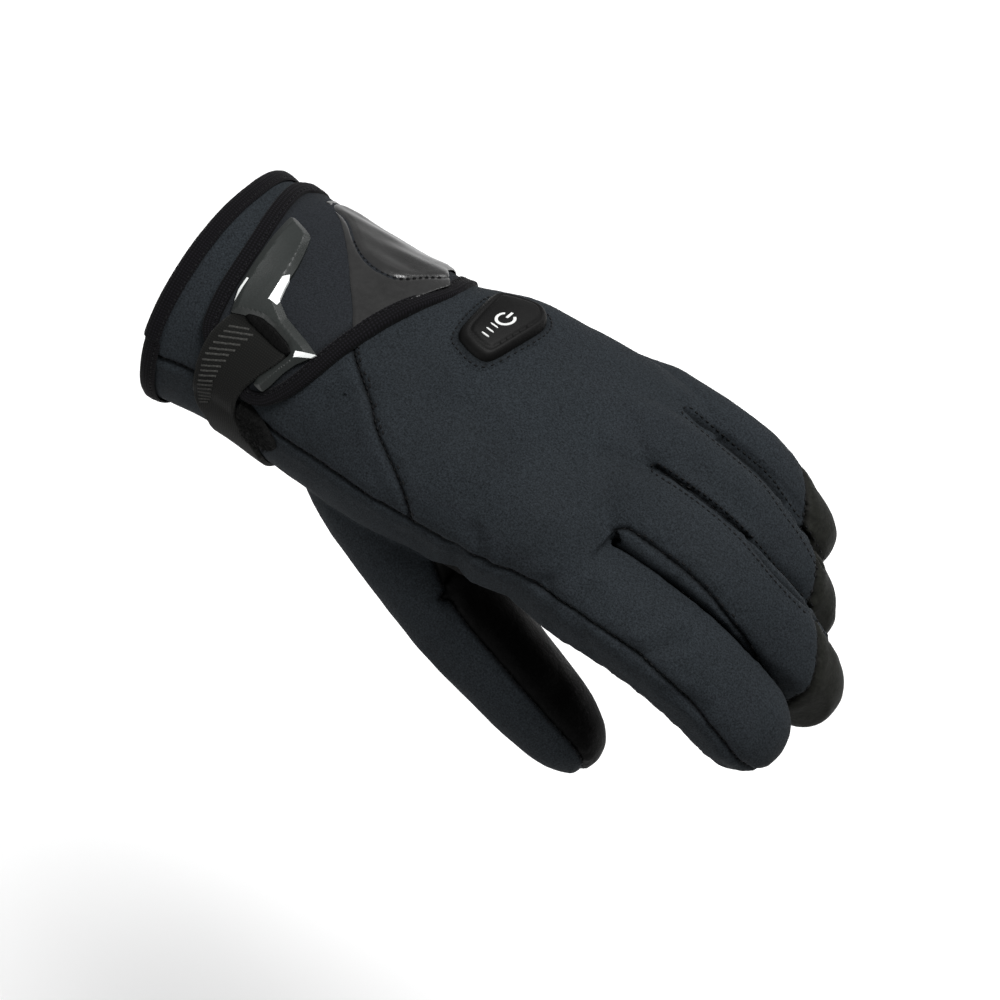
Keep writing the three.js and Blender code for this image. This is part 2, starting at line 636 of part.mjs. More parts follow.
function arm([first, last], low, high) {
  const grid = (height) =>
    Array.from({ length: ANCHOR_STEPS + 1 }, (_, i) =>
      [0, 0.5, 1].map((across) => {
        const t = i / ANCHOR_STEPS;
        const edge = (end, axis) => end[0][axis] * (1 - across) + end[1][axis] * across;
        const x = xOf(first[0][0]) * (1 - across) + xOf(first[1][0]) * across;
        const farX = xOf(last[0][0]) * (1 - across) + xOf(last[1][0]) * across;
        const turn = edge(first, 1) * (1 - t) + edge(last, 1) * t;
        return onBody(alongOf(x * (1 - t) + farX * t), radians(turn), height);
      }));
  return slab(grid(low), grid(high));
}
const anchor = union(ANCHOR.map((ends) => arm(ends, ON_FLAP, ON_FLAP + ANCHOR_THICK)));

// The webbing strap: its front edge from the anchor over the flap's end and round the thumb's side to the palm.
const STRAP = [
  { turn: 118.5, front: 0.1335 },
  { turn: 127, front: 0.1195 },
  { turn: 136, front: 0.0955 },
  { turn: 149, front: 0.1045 },
  { turn: 166, front: 0.1345 },
  { turn: 200, front: 0.1545 },
  { turn: 240, front: 0.1545 },
];
const STRAP_OFF_FLAP = 150;
const STRAP_ON_SKIN = 166;
const strapRows = STRAP.map(({ turn, front }) => ({
  turn,
  back: alongOf(xOf(front) - STRAP_WIDTH),
  front,
}));
const strapLow = (turn) => {
  const down = clamp((turn - STRAP_OFF_FLAP) / (STRAP_ON_SKIN - STRAP_OFF_FLAP));
  return BINDING_HIGH + SKIN_GAP - down * BINDING_HIGH;
};
const strap = bandOnBody(strapRows, strapLow, (turn) => strapLow(turn) + STRAP_THICK);

// The fuzzy tab beside the strap on the thumb's side.
const TAB_TURNS = [154, 160, 166, 172, 178, 184];
const TAB_SHARE = 0.3;
const TAB_THICK = 2;
const tabRows = TAB_TURNS.map((turn) => {
  const back = xOf(smooth(strapRows, "turn", "front", turn)) + 2 * SEAM;
  return { turn, back: alongOf(back), front: alongOf(back + STRAP_WIDTH * TAB_SHARE) };
});
const tab = bandOnBody(tabRows, SKIN_GAP, SKIN_GAP + TAB_THICK, 2);

// The bound edge of the cuff, a ring round the open end.
const EDGE_ROUND = 1.4;
const CUFF_SIDES = 28;
const cuffBinding = loft(
  fullTurn(CUFF_SIDES).map((turn) => {
    const place = (x, height) => onBody((x - CUFF_LENGTH) / CUFF_LENGTH, turn, height);
    return [
      place(BINDING_WIDTH, BINDING_PROUD),
      place(EDGE_ROUND, BINDING_PROUD),
      place(0, BINDING_PROUD - EDGE_ROUND),
      place(0, -WALL - BINDING_PROUD + EDGE_ROUND),
      place(EDGE_ROUND, -WALL - BINDING_PROUD),
      place(BINDING_WIDTH, -WALL - BINDING_PROUD),
    ];
  }),
  true,
);

// The rubber button on the back of the hand: its base, its cap and the marks on it.
const BUTTON = [
  { turn: 51, back: 0.2, front: 0.78 },
  { turn: 54, back: 0.02, front: 0.9 },
  { turn: 58, back: 0.0, front: 1.0 },
  { turn: 80, back: 0.16, front: 0.98 },
  { turn: 85, back: 0.36, front: 0.94 },
  { turn: 88, back: 0.56, front: 0.84 },
];
const BUTTON_AT = 0.4;
const BUTTON_RIM = 2;

function buttonRows(inset) {
  const first = BUTTON[0].turn;
  const last = BUTTON[BUTTON.length - 1].turn;
  const lean = 1 - (2 * inset * DEGREES_PER_MM) / (last - first);
  const middle = (first + last) / 2;
  return BUTTON.map((row) => ({
    turn: middle + (row.turn - middle) * lean,
    back: BUTTON_AT + (row.back * BUTTON_LENGTH + inset) / PALM_LENGTH,
    front: BUTTON_AT + (row.front * BUTTON_LENGTH - inset) / PALM_LENGTH,
  }));
}
const CAP_LOW = SKIN_GAP + BUTTON_THICK + SKIN_GAP;
const MARK_LOW = CAP_LOW + BUTTON_CAP_THICK + SKIN_GAP;
const buttonBase = bandOnBody(buttonRows(0), SKIN_GAP, SKIN_GAP + BUTTON_THICK, 2);
const buttonCap = bandOnBody(buttonRows(BUTTON_RIM), CAP_LOW, CAP_LOW + BUTTON_CAP_THICK, 2);

// Marks on the button: three level bars and a power sign, at places in mm from the button's corner.
const BAR_TURNS = [81, 78.3, 75.6];
const BAR_LENGTH = 3.2;
const BAR_WIDTH = 0.9;
const SIGN_TURN = 67.5;
const SIGN_RADIUS = 3;
const SIGN_LINE = 0.9;
const SIGN_OPEN = 40;
const SIGN_STEPS = 12;
const SIGN_BAR_FROM = 0.3;
const MARKS_ACROSS = 0.55;

function mark(x, turn) {
  const along = BUTTON_AT + (BUTTON_LENGTH * MARKS_ACROSS + x) / PALM_LENGTH;
  return (height) => onBody(along, radians(turn), height);
}

function levelBar(turn) {
  const corners = [-BAR_LENGTH / 2, BAR_LENGTH / 2].map((x) =>
    [-BAR_WIDTH / 2, BAR_WIDTH / 2].map((side) => mark(x, turn + side * DEGREES_PER_MM)));
  return markSlab(corners);
}

function markSlab(places) {
  const grid = (height) => places.map((row) => row.map((place) => place(height)));
  return slab(grid(MARK_LOW), grid(MARK_LOW + MARK_THICK));
}

function signRing() {
  const step = (360 - 2 * SIGN_OPEN) / SIGN_STEPS;
  const turns = Array.from({ length: SIGN_STEPS + 1 }, (_, i) => radians(SIGN_OPEN + step * i));
  return markSlab(turns.map((turn) =>
    [SIGN_RADIUS - SIGN_LINE, SIGN_RADIUS].map((radius) =>
      mark(-radius * Math.sin(turn), SIGN_TURN - radius * Math.cos(turn) * DEGREES_PER_MM))));
}

function signBar() {
  return markSlab([-SIGN_LINE / 2, SIGN_LINE / 2].map((x) =>
    [SIGN_BAR_FROM, SIGN_RADIUS + SIGN_BAR_FROM].map((side) => mark(x, SIGN_TURN - side * DEGREES_PER_MM))));
}

// Materials
const finish = (color, roughness) => new THREE.MeshStandardMaterial({ color, roughness, metalness: 0 });
const softshell = finish(0x24282b, 0.9);
const leatherFinish = finish(0x121212, 0.6);
const edging = finish(0x201d22, 0.95);
const gloss = finish(0x1b1b1c, 0.3);
const moulded = finish(0x2c2e2d, 0.35);
const webbing = finish(0x17171a, 0.85);
const rubber = finish(0x161617, 0.5);
const print = finish(0xe8e8e8, 0.6);

const pieces = [
  ...Object.entries(panels).map(([name, solid]) => [
    name, solid, ["palm_panel", "thumb_patch"].includes(name) ? leatherFinish : softshell,
  ]),
  ["cuff_binding", cuffBinding, edging],
  ["closure_flap", flap, softshell],
  ["flap_binding", largest(flapBinding), edging],
  ["film_panel", film, gloss],
  ["strap_anchor", anchor, moulded],
  ["closure_strap", strap, webbing],
  ["hook_tab", tab, webbing],
  ["button_base", buttonBase, rubber],
  ["button_cap", buttonCap, rubber],
  ...BAR_TURNS.map((turn, i) => [`level_bar_${i + 1}`, levelBar(turn), print]),
  ["power_ring", signRing(), print],
  ["power_bar", signBar(), print],
];

const glove = new THREE.Group();
for (const [name, solid, material] of pieces) {
  const mesh = new THREE.Mesh(geometryOf(solid), material);
  mesh.name = name;
  glove.add(mesh);
}
export default glove;
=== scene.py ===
"""A left-hand heated winter glove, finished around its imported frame."""
import math

import bpy
import numpy as np
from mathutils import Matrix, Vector, noise
from mathutils.bvhtree import BVHTree
from mathutils.kdtree import KDTree


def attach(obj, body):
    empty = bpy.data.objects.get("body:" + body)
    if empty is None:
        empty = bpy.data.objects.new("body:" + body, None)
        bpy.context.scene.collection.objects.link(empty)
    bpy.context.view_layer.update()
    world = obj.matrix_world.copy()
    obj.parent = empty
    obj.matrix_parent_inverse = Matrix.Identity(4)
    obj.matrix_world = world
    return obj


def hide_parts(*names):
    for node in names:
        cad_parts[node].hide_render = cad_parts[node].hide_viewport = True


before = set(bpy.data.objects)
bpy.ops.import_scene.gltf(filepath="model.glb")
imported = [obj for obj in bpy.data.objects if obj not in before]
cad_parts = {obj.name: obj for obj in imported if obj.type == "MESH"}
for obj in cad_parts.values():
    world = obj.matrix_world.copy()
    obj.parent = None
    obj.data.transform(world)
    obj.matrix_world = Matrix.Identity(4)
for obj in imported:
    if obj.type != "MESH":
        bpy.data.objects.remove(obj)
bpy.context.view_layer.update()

MM = 0.001
TAU = 2 * math.pi

# Driving sizes of the glove in millimetres
CUFF_LENGTH = 31.5
PALM_LENGTH = 142.0
BODY_WIDTH = 94.0
BODY_DEPTH = 74.0
FINGER_DEPTH = 32.0
THUMB_LENGTH = 136.5
THUMB_WIDTH = 42.0

# Fineness of the cloth mesh in millimetres
VOXEL = 1.0
SMOOTHING = 14


def rows_of(names, lines):
    """Rows of a table, each a dictionary by column name."""
    return [dict(zip(names.split(), line)) for line in lines]


def smooth(rows, key, column, at):
    """Smooth values from a table of rows, by one of its columns."""
    keys = np.array([row[key] for row in rows], float)
    values = np.array([row[column] for row in rows], float)
    at = np.clip(np.asarray(at, float), keys[0], keys[-1])
    i = np.clip(np.searchsorted(keys, at, side="left") - 1, 0, len(keys) - 2)
    slope = np.zeros(len(keys))
    slope[1:-1] = (values[2:] - values[:-2]) / (keys[2:] - keys[:-2])
    width = keys[i + 1] - keys[i]
    t = (at - keys[i]) / width
    leave = (2 * t**3 - 3 * t**2 + 1) * values[i] + (3 * t**2 - 2 * t**3) * values[i + 1]
    return leave + width * ((t**3 - 2 * t**2 + t) * slope[i] + (t**3 - t**2) * slope[i + 1])


# Sections of the body: side and width in shares of BODY_WIDTH, rise and depth in shares of BODY_DEPTH
BODY = rows_of("along side rise width depth square tilt skew", [
    (-1.0, -0.03, -0.01, 0.477, 0.475, 2.05, 0, -0.09),
    (-0.5, -0.02, -0.01, 0.465, 0.45, 2.05, 0, -0.09),
    (0.0, -0.01, 0.0, 0.455, 0.43, 2.1, 0, -0.06),
    (0.28, 0.005, 0.01, 0.47, 0.44, 2.2, 0, 0),
    (0.46, 0.06, 0.03, 0.53, 0.42, 2.3, -4, 0),
    (0.64, 0.1, 0.02, 0.54, 0.39, 2.4, -8, 0),
    (0.82, 0.12, 0.02, 0.53, 0.35, 2.5, -12, 0),
    (0.93, 0.13, 0.04, 0.51, 0.3, 2.5, -14, 0),
    (1.0, 0.13, 0.06, 0.48, 0.22, 2.5, -14, 0),
])


def signed_power(value, exponent):
    return np.sign(value) * np.abs(value) ** exponent


def on_body(x, turn, height=0.0):
    """Points of the body's surface at a place along X in mm and a turn in radians, moved out by a height."""
    x, turn, height = np.broadcast_arrays(np.asarray(x, float), turn, height)
    along = np.where(x < 0, x / CUFF_LENGTH, x / PALM_LENGTH)
    at = {name: smooth(BODY, "along", name, along) for name in BODY[0] if name != "along"}
    across = (at["width"] * BODY_WIDTH + height) * signed_power(np.cos(turn), 2 / at["square"])
    up = (at["depth"] * BODY_DEPTH + height) * signed_power(np.sin(turn), 2 / at["square"])
    tilt = np.radians(at["tilt"])
    y = across * np.cos(tilt) - up * np.sin(tilt)
    z = across * np.sin(tilt) + up * np.cos(tilt)
    return np.stack([x + at["skew"] * y, y + at["side"] * BODY_WIDTH, z + at["rise"] * BODY_DEPTH], -1)


# Fingers, with their roots in shares of PALM_LENGTH, BODY_WIDTH and BODY_DEPTH
FINGERS = [
    dict(name="index", length=127, width=36, depth=1.09 * FINGER_DEPTH, root=(0.704, -0.223, 0.054),
         pitch=[(0, -2), (0.4, -2), (0.55, 8), (0.7, 26), (0.85, 38), (1, 55)]),
    dict(name="middle", length=140, width=33, depth=FINGER_DEPTH, root=(0.704, 0.075, 0.176),
         pitch=[(0, 0), (0.35, 2), (0.5, 14), (0.65, 38), (0.85, 56), (1, 68)]),
    dict(name="ring", length=126, width=31, depth=0.94 * FINGER_DEPTH, root=(0.676, 0.33, 0.135),
         pitch=[(0, 0), (0.35, 4), (0.5, 20), (0.65, 44), (0.85, 58), (1, 66)]),
    dict(name="little", length=111, width=28, depth=0.875 * FINGER_DEPTH, root=(0.592, 0.564, -0.122),
         pitch=[(0, -1), (0.45, -1), (0.6, 12), (0.75, 32), (0.85, 42), (1, 60)]),
]
ROUTE_STEPS = 120
DIGIT_SQUARE = 2.3
TIP_TAPER = 0.16
TIP_SHARE = 0.5
ROOT_SHRINK = 0.7
PRESS_LEAN = 0.6
PRESS_SOFT = 0.8
FINGER_GAP = 3.0
FINGER_CLOSE = 1.1


def finger_route(finger):
    """The middle line of a finger: points and directions at even shares of its length."""
    pitch = rows_of("at down", finger["pitch"])
    at = np.array(finger["root"]) * (PALM_LENGTH, BODY_WIDTH, BODY_DEPTH)
    points, directions = [], []
    for step in range(ROUTE_STEPS + 1):
        down = math.radians(float(smooth(pitch, "at", "down", step / ROUTE_STEPS)))
        direction = np.array([math.cos(down), 0, -math.sin(down)])
        points.append(at.copy())
        directions.append(direction)
        at = at + direction * finger["length"] / ROUTE_STEPS
    return np.array(points), np.array(directions)


for finger in FINGERS:
    finger["points"], finger["directions"] = finger_route(finger)
    finger["side"] = finger["root"][1] * BODY_WIDTH


def finger_height(finger, x):
    """Height of a finger's middle line over a place along X, past its tip too."""
    points = finger["points"]
    slope = (points[-1, 2] - points[-2, 2]) / (points[-1, 0] - points[-2, 0])
    past = np.clip(x - points[-1, 0], 0, 6)
    return np.interp(x, points[:, 0], points[:, 2]) + past * slope


def press_side(finger, neighbour):
    share = finger["width"] / (finger["width"] + neighbour["width"])
    return finger["side"] + share * (neighbour["side"] - finger["side"])


def press_offset(points, finger, neighbour):
    """How far points lie past the face where a finger presses on its neighbour, and that face's direction."""
    x = points[:, 0]
    here = np.stack([x, np.full_like(x, finger["side"]), finger_height(finger, x)], 1)
    there = np.stack([x, np.full_like(x, neighbour["side"]), finger_height(neighbour, x)], 1)
    share = finger["width"] / (finger["width"] + neighbour["width"])
    lean = (there - here) * (1, 1, PRESS_LEAN)
    lean /= np.linalg.norm(lean, axis=1, keepdims=True)
    return ((points - here - share * (there - here)) * lean).sum(1), lean


def neighbours_of(finger):
    place = FINGERS.index(finger)
    return [FINGERS[i] for i in (place - 1, place + 1) if 0 <= i < len(FINGERS)]


def loft(rings):
    """Vertices and faces of a closed form through rings of points."""
    count = len(rings[0])
    verts = np.concatenate(rings)
    faces = []
    for r in range(len(rings) - 1):
        a = r * count
        faces += [(a + k, a + (k + 1) % count, a + count + (k + 1) % count, a + count + k) for k in range(count)]
    faces.append(tuple(range(count))[::-1])
    end = (len(rings) - 1) * count
    faces.append(tuple(range(end, end + count)))
    return verts, faces


BODY_RINGS = 60
BODY_SIDES = 96
DIGIT_RINGS = 64
DIGIT_SIDES = 48
PAST_CUFF = 4.0


def turns(sides):
    return np.arange(sides) / sides * TAU


def body_loft(inset):
    end = PALM_LENGTH - inset
    places = np.linspace(-CUFF_LENGTH - PAST_CUFF, end, BODY_RINGS)
    rings = []
    for x in places:
        ring = on_body(max(x, -CUFF_LENGTH), turns(BODY_SIDES), -inset)
        ring[:, 0] += min(0.0, x + CUFF_LENGTH)
        rings.append(ring)
    return loft(rings)


def finger_loft(finger, inset):
    half = finger["width"] / 2
    tip = finger["width"] * TIP_SHARE / finger["length"]
    last = 1 - inset / finger["length"]
    dome = np.sin(np.linspace(0, 1, 14) * math.pi / 2)
    shares = np.concatenate([np.linspace(0, last - tip, DIGIT_RINGS)[:-1], last - tip + tip * dome])
    rings = []
    for share in shares:
        step = min(share, 1 - 1e-6) * ROUTE_STEPS
        i, t = int(step), step % 1
        middle = finger["points"][i] * (1 - t) + finger["points"][i + 1] * t
        direction = finger["directions"][i] * (1 - t) + finger["directions"][i + 1] * t
        rise = np.array([-direction[2], 0, direction[0]])
        over = min(1, max(0, (share - (last - tip)) / tip))
        shrink = (1 - TIP_TAPER * share**2) * max(0.04, math.sqrt(1 - over**2))
        shrink *= ROOT_SHRINK + (1 - ROOT_SHRINK) * min(1, share / 0.3)
        turn = turns(DIGIT_SIDES)
        across = (half - inset) * shrink * signed_power(np.cos(turn), 2 / DIGIT_SQUARE)
        up = (finger["depth"] / 2 - inset) * shrink * signed_power(np.sin(turn), 2 / DIGIT_SQUARE)
        ring = middle + rise * up[:, None] + np.array([0, 1, 0]) * across[:, None]
        for neighbour in neighbours_of(finger):
            over, lean = press_offset(ring, finger, neighbour)
            over = over + FINGER_GAP / 2 + inset
            ring = ring - lean * (0.5 * (over + np.sqrt(over**2 + PRESS_SOFT**2)))[:, None]
        rings.append(ring)
    return loft(rings)


# Thumb: places in shares of THUMB_LENGTH from its root, half sizes in shares of THUMB_WIDTH
THUMB_ROOT = np.array([0.197 * PALM_LENGTH, -0.149 * BODY_WIDTH, -0.108 * BODY_DEPTH])
THUMB = rows_of("x y z half high", [
    (0.0, 0.0, 0.0, 0.42, 0.42),
    (0.196, -0.058, -0.073, 0.54, 0.515),
    (0.377, -0.116, -0.145, 0.5, 0.475),
    (0.558, -0.167, -0.21, 0.45, 0.43),
    (0.717, -0.188, -0.275, 0.415, 0.405),
    (0.862, -0.203, -0.333, 0.375, 0.357),
    (0.942, -0.214, -0.362, 0.298, 0.286),
    (0.985, -0.221, -0.38, 0.18, 0.17),
    (1.0, -0.224, -0.386, 0.07, 0.07),
])


def thumb_axis(share):
    """Points of the thumb's middle line at shares of its reach along X."""
    return THUMB_ROOT + THUMB_LENGTH * np.stack([smooth(THUMB, "x", axis, share) for axis in "xyz"], -1)


def thumb_loft(inset):
    shares = np.concatenate([np.linspace(0, 0.86, DIGIT_RINGS), 0.86 + 0.14 * np.sin(np.linspace(0.1, 1, 16) * math.pi / 2)])
    rings = []
    for share in shares:
        middle = thumb_axis(share)
        direction = thumb_axis(min(1, share + 0.02)) - thumb_axis(max(0, share - 0.02))
        direction /= np.linalg.norm(direction)
        side = np.array([0, 1, 0]) - direction * direction[1]
        side /= np.linalg.norm(side)
        rise = np.cross(direction, side)
        turn = turns(DIGIT_SIDES)
        middle = middle - direction * inset * max(0, share - 0.9) * 10
        across = max(0.8, float(smooth(THUMB, "x", "half", share)) * THUMB_WIDTH - inset) * np.cos(turn)
        up = max(0.8, float(smooth(THUMB, "x", "high", share)) * THUMB_WIDTH - inset) * np.sin(turn)
        rings.append(middle + side * across[:, None] + rise * up[:, None])
    return loft(rings)


def joined(parts):
    """One list of vertices and faces from several."""
    verts, faces, start = [], [], 0
    for v, f in parts:
        verts.append(np.asarray(v, float))
        faces += [tuple(int(i) + start for i in face) for face in f]
        start += len(v)
    return np.concatenate(verts), faces


def new_object(name, verts_mm, faces):
    mesh = bpy.data.meshes.new(name)
    mesh.from_pydata((np.asarray(verts_mm) * MM).tolist(), [], [tuple(int(i) for i in f) for f in faces])
    mesh.update()
    piece = bpy.data.objects.new(name, mesh)
    bpy.context.scene.collection.objects.link(piece)
    return piece


def apply_modifier(piece, kind, **settings):
    modifier = piece.modifiers.new(kind.lower(), kind)
    for key, value in settings.items():
        setattr(modifier, key, value)
    bpy.context.view_layer.objects.active = piece
    bpy.ops.object.modifier_apply(modifier=modifier.name)


def mesh_arrays(piece):
    """Vertices in mm and triangles of an object's mesh."""
    mesh = piece.data
    mesh.calc_loop_triangles()
    co = np.zeros(len(mesh.vertices) * 3, np.float32)
    mesh.vertices.foreach_get("co", co)
    tri = np.zeros(len(mesh.loop_triangles) * 3, np.int32)
    mesh.loop_triangles.foreach_get("vertices", tri)
    return co.reshape(-1, 3).astype(float) / MM, tri.reshape(-1, 3)


def one_skin(name, inset, voxel, rounds):
    """The whole glove's surface as one mesh: body, fingers and thumb run together and smoothed."""
    parts = [body_loft(inset), thumb_loft(inset)] + [finger_loft(finger, inset) for finger in FINGERS]
    verts, faces = joined(parts)
    piece = new_object(name, verts, faces)
    apply_modifier(piece, "REMESH", mode="VOXEL", voxel_size=voxel * MM, adaptivity=0.0)
    verts, tris = mesh_arrays(piece)
    bpy.data.objects.remove(piece)
    return relax(verts, tris, rounds), tris


def edges_of(tris):
    edges = np.sort(np.concatenate([tris[:, [0, 1]], tris[:, [1, 2]], tris[:, [2, 0]]]), axis=1)
    return np.unique(edges, axis=0)


def relax(verts, tris, rounds, share=0.5):
    """Smooths a mesh by moving each vertex towards the middle of its neighbours."""
    edges = edges_of(tris)
    count = len(verts)
    degree = np.bincount(edges.ravel(), minlength=count)[:, None]
    for step in range(rounds):
        total = np.zeros_like(verts)
        for axis in range(3):
            total[:, axis] += np.bincount(edges[:, 0], verts[edges[:, 1], axis], count)
            total[:, axis] += np.bincount(edges[:, 1], verts[edges[:, 0], axis], count)
        factor = share if step % 2 == 0 else -0.53 * share / 0.5
        verts = verts + (total / degree - verts) * factor
    return verts


def normals_of(verts, tris):
    face = np.cross(verts[tris[:, 1]] - verts[tris[:, 0]], verts[tris[:, 2]] - verts[tris[:, 0]])
    normals = np.zeros_like(verts)
    for axis in range(3):
        for corner in range(3):
            normals[:, axis] += np.bincount(tris[:, corner], face[:, axis], len(verts))
    return normals / np.maximum(np.linalg.norm(normals, axis=1, keepdims=True), 1e-12)


def cut_mesh(wide, tris, values):
    """Splits every triangle that a field's zero line crosses. Rows of wide are carried along."""
    values = np.where(np.abs(values) < 1e-5, 1e-5, values)
    positive = values[tris] > 0
    mixed = positive.any(1) & ~positive.all(1)
    whole, split = tris[~mixed], tris[mixed]
    side = positive[mixed]
    lone_is_positive = side.sum(1) == 1
    lone = np.where(lone_is_positive, side.argmax(1), (~side).argmax(1))
    order = (lone[:, None] + np.arange(3)) % 3
    split = np.take_along_axis(split, order, 1)
    pairs = np.concatenate([split[:, [0, 1]], split[:, [0, 2]]])
    unique, place = np.unique(np.sort(pairs, axis=1), axis=0, return_inverse=True)
    place = place.ravel()
    a, b = unique[:, 0], unique[:, 1]
    t = (values[a] / (values[a] - values[b]))[:, None]
    added = wide[a] * (1 - t) + wide[b] * t
    new = place + len(wide)
    p, q = new[:len(split)], new[len(split):]
    parts = [
        whole,
        np.stack([split[:, 0], p, q], 1),
        np.stack([p, split[:, 1], split[:, 2]], 1),
        np.stack([p, split[:, 2], q], 1),
    ]
    return np.concatenate([wide, added]), np.concatenate(parts)


# Seam heights of the back against side and palm, in shares of BODY_DEPTH
SIDE_SEAM = rows_of("along thumb little", [
    (-1.0, 0.18, -0.05), (0.0, 0.19, -0.05), (0.23, 0.17, -0.05), (0.45, 0.21, -0.08), (0.66, 0.2, -0.12),
])
SEAM_RISE = [(12, 1), (7, 1), (6, 0), (5, 0)]
THUMB_EDGE = -0.43
LITTLE_EDGE = 0.63
BODY_END = 0.66
FINGERS_START = 0.96
STRIP_HALF = 6.0
STRIP_START = 0.97
STRIP_GROW = 8.0
STRIP_TAPER = 7.0
CAP_SHARE = 0.88
CAP_LEAN = 0.8


def finger_of(y):
    """The place of the finger that a width across belongs to."""
    sides = [press_side(FINGERS[i], FINGERS[i + 1]) for i in range(3)]
    return np.searchsorted(sides, y)


def seam_fields(verts):
    """Signed distances from the seams between back, strips, palm and fingertip caps."""
    x, y, z = verts.T
    place = finger_of(y)
    height = np.zeros(len(x))
    strip = np.zeros(len(x))
    cap = np.full(len(x), -10.0)
    across = np.clip((y / BODY_WIDTH - THUMB_EDGE) / (LITTLE_EDGE - THUMB_EDGE), 0, 1)
    along = np.where(x < 0, x / CUFF_LENGTH, x / PALM_LENGTH)
    body = smooth(SIDE_SEAM, "along", "thumb", along) * (1 - across)
    body = (body + smooth(SIDE_SEAM, "along", "little", along) * across) * BODY_DEPTH
    blend = np.clip((x / PALM_LENGTH - BODY_END) / (FINGERS_START - BODY_END), 0, 1)
    blend = blend**2 * (3 - 2 * blend)
    for i, finger in enumerate(FINGERS):
        mine = place == i
        reach = finger["width"] / 3
        t = np.clip((y - finger["side"] + reach) / (2 * reach), 0, 1)
        lift = SEAM_RISE[i][0] * (1 - t) + SEAM_RISE[i][1] * t
        own = body * (1 - blend) + blend * (finger_height(finger, x) + lift)
        height[mine] = own[mine]
        tip = finger["points"][-1, 0] - finger["width"] / 2
        grow = np.clip((x - STRIP_START * PALM_LENGTH) / STRIP_GROW, 0, 1)
        half = STRIP_HALF * np.sqrt(grow) * np.sqrt(np.clip((tip - x) / STRIP_TAPER, 0, 1))
        if i == 0:
            half = half * (y > finger["side"])
        if i == 3:
            half = half * (y < finger["side"])
        strip[mine] = half[mine]
        if i > 0:
            at = int(CAP_SHARE * ROUTE_STEPS)
            past = (verts - finger["points"][at]) @ finger["directions"][at]
            past = past + CAP_LEAN * (y - finger["side"] + 0.4 * finger["width"])
            cap[mine] = np.where(x > PALM_LENGTH, past, -10.0)[mine]
    return dict(back=z - height - strip, palm=height - strip - z, cap=cap)


WRIST_SEAM = rows_of("y x", [
    (-0.44, 0.60), (-0.383, 0.55), (-0.33, 0.482), (-0.276, 0.419),
    (-0.223, 0.377), (-0.166, 0.32), (-0.094, 0.257), (0.0, 0.22), (0.7, 0.21),
])
THUMB_SEAM = rows_of("x y", [
    (-1.0, -0.24), (0.0, -0.24), (0.21, -0.22), (0.42, -0.28), (0.6, -0.36),
    (0.74, -0.455), (0.89, -0.49), (1.03, -0.51), (1.11, -0.515), (1.35, -0.51),
])
THUMB_TOP = -0.24
THUMB_FREE = 0.7
INDEX_STRIP = 8.0
INDEX_LAP = 6.0


def zone_fields(verts):
    """Signed distances from the wrist seam, the side panel's seam and the thumb patch's seam."""
    x, y, z = verts.T
    wrist = smooth(WRIST_SEAM, "y", "x", y / BODY_WIDTH) * PALM_LENGTH - x
    beside = smooth(THUMB_SEAM, "x", "y", x / PALM_LENGTH) * BODY_WIDTH - y
    base = np.minimum(beside, np.maximum(THUMB_FREE * PALM_LENGTH - x, THUMB_TOP * BODY_DEPTH - z))
    index = FINGERS[0]
    strip = np.minimum(z - finger_height(index, x) + INDEX_STRIP, x - THUMB_FREE * PALM_LENGTH + INDEX_LAP)
    strip = np.minimum(strip, index["side"] - y)
    axis = thumb_axis(np.clip((x - THUMB_ROOT[0]) / THUMB_LENGTH, 0, 1))
    reach = smooth(THUMB, "x", "half", (x - THUMB_ROOT[0]) / THUMB_LENGTH) * THUMB_WIDTH + 3
    reach = reach + np.clip((x - 0.8 * PALM_LENGTH), 0, 16)
    thumb = np.minimum(reach - np.linalg.norm(verts - axis, axis=1), x - 0.69 * PALM_LENGTH)
    return dict(wrist=wrist, side=np.maximum(base, strip), thumb=thumb)


def make_panels():
    """The skin cut along its seams, as one set of vertices with a triangle list for each panel."""
    verts, tris = one_skin("skin", 0.0, VOXEL, SMOOTHING)
    for step in range(6):
        names = ["back", "palm", "cap", "wrist", "side", "thumb"]
        fields = {**seam_fields(verts), **zone_fields(verts)}
        verts, tris = cut_mesh(verts, tris, fields[names[step]])
    fields = {**seam_fields(verts), **zone_fields(verts)}
    mean = {name: values[tris].mean(1) for name, values in fields.items()}
    cap = mean["cap"] > 0
    back = (mean["back"] > 0) & ~cap
    palm = (mean["palm"] > 0) | cap
    inner = palm & ~(mean["side"] > 0)
    label = np.select(
        [back & (mean["wrist"] > 0), back, palm & (mean["side"] > 0) & ~cap, inner & (mean["thumb"] > 0), palm],
        [0, 1, 2, 3, 4], 5)
    return verts, tris, label


PANELS = ["wrist_panel", "back_panel", "side_panel", "thumb_patch", "palm_panel", "fourchettes"]


DEGREES_PER_MM = 1.3

# The photo's camera, in millimetres and pixels of its 1000 x 1000 frame
CAMERA_AT = np.array([441.3, -448.9, 1048.2])
LOOK_AT = np.array([94.5, -5.0, -11.3])
LENS = 128.96
SENSOR = 36.0
FRAME = 1000
FOCAL = LENS / SENSOR * FRAME
FORWARD = (LOOK_AT - CAMERA_AT) / np.linalg.norm(LOOK_AT - CAMERA_AT)
RIGHT = np.cross(FORWARD, (0, 0, 1)) / np.linalg.norm(np.cross(FORWARD, (0, 0, 1)))
UP = np.cross(RIGHT, FORWARD)


def pixels_of(points):
    rel = points - CAMERA_AT
    depth = rel @ FORWARD
    return np.stack([FRAME / 2 + FOCAL * rel @ RIGHT / depth, FRAME / 2 - FOCAL * rel @ UP / depth], -1)


def place(flat, height):
    """Points over the body for unrolled places: mm along X, and mm of turn."""
    return on_body(flat[:, 0], np.radians(flat[:, 1] * DEGREES_PER_MM), height)


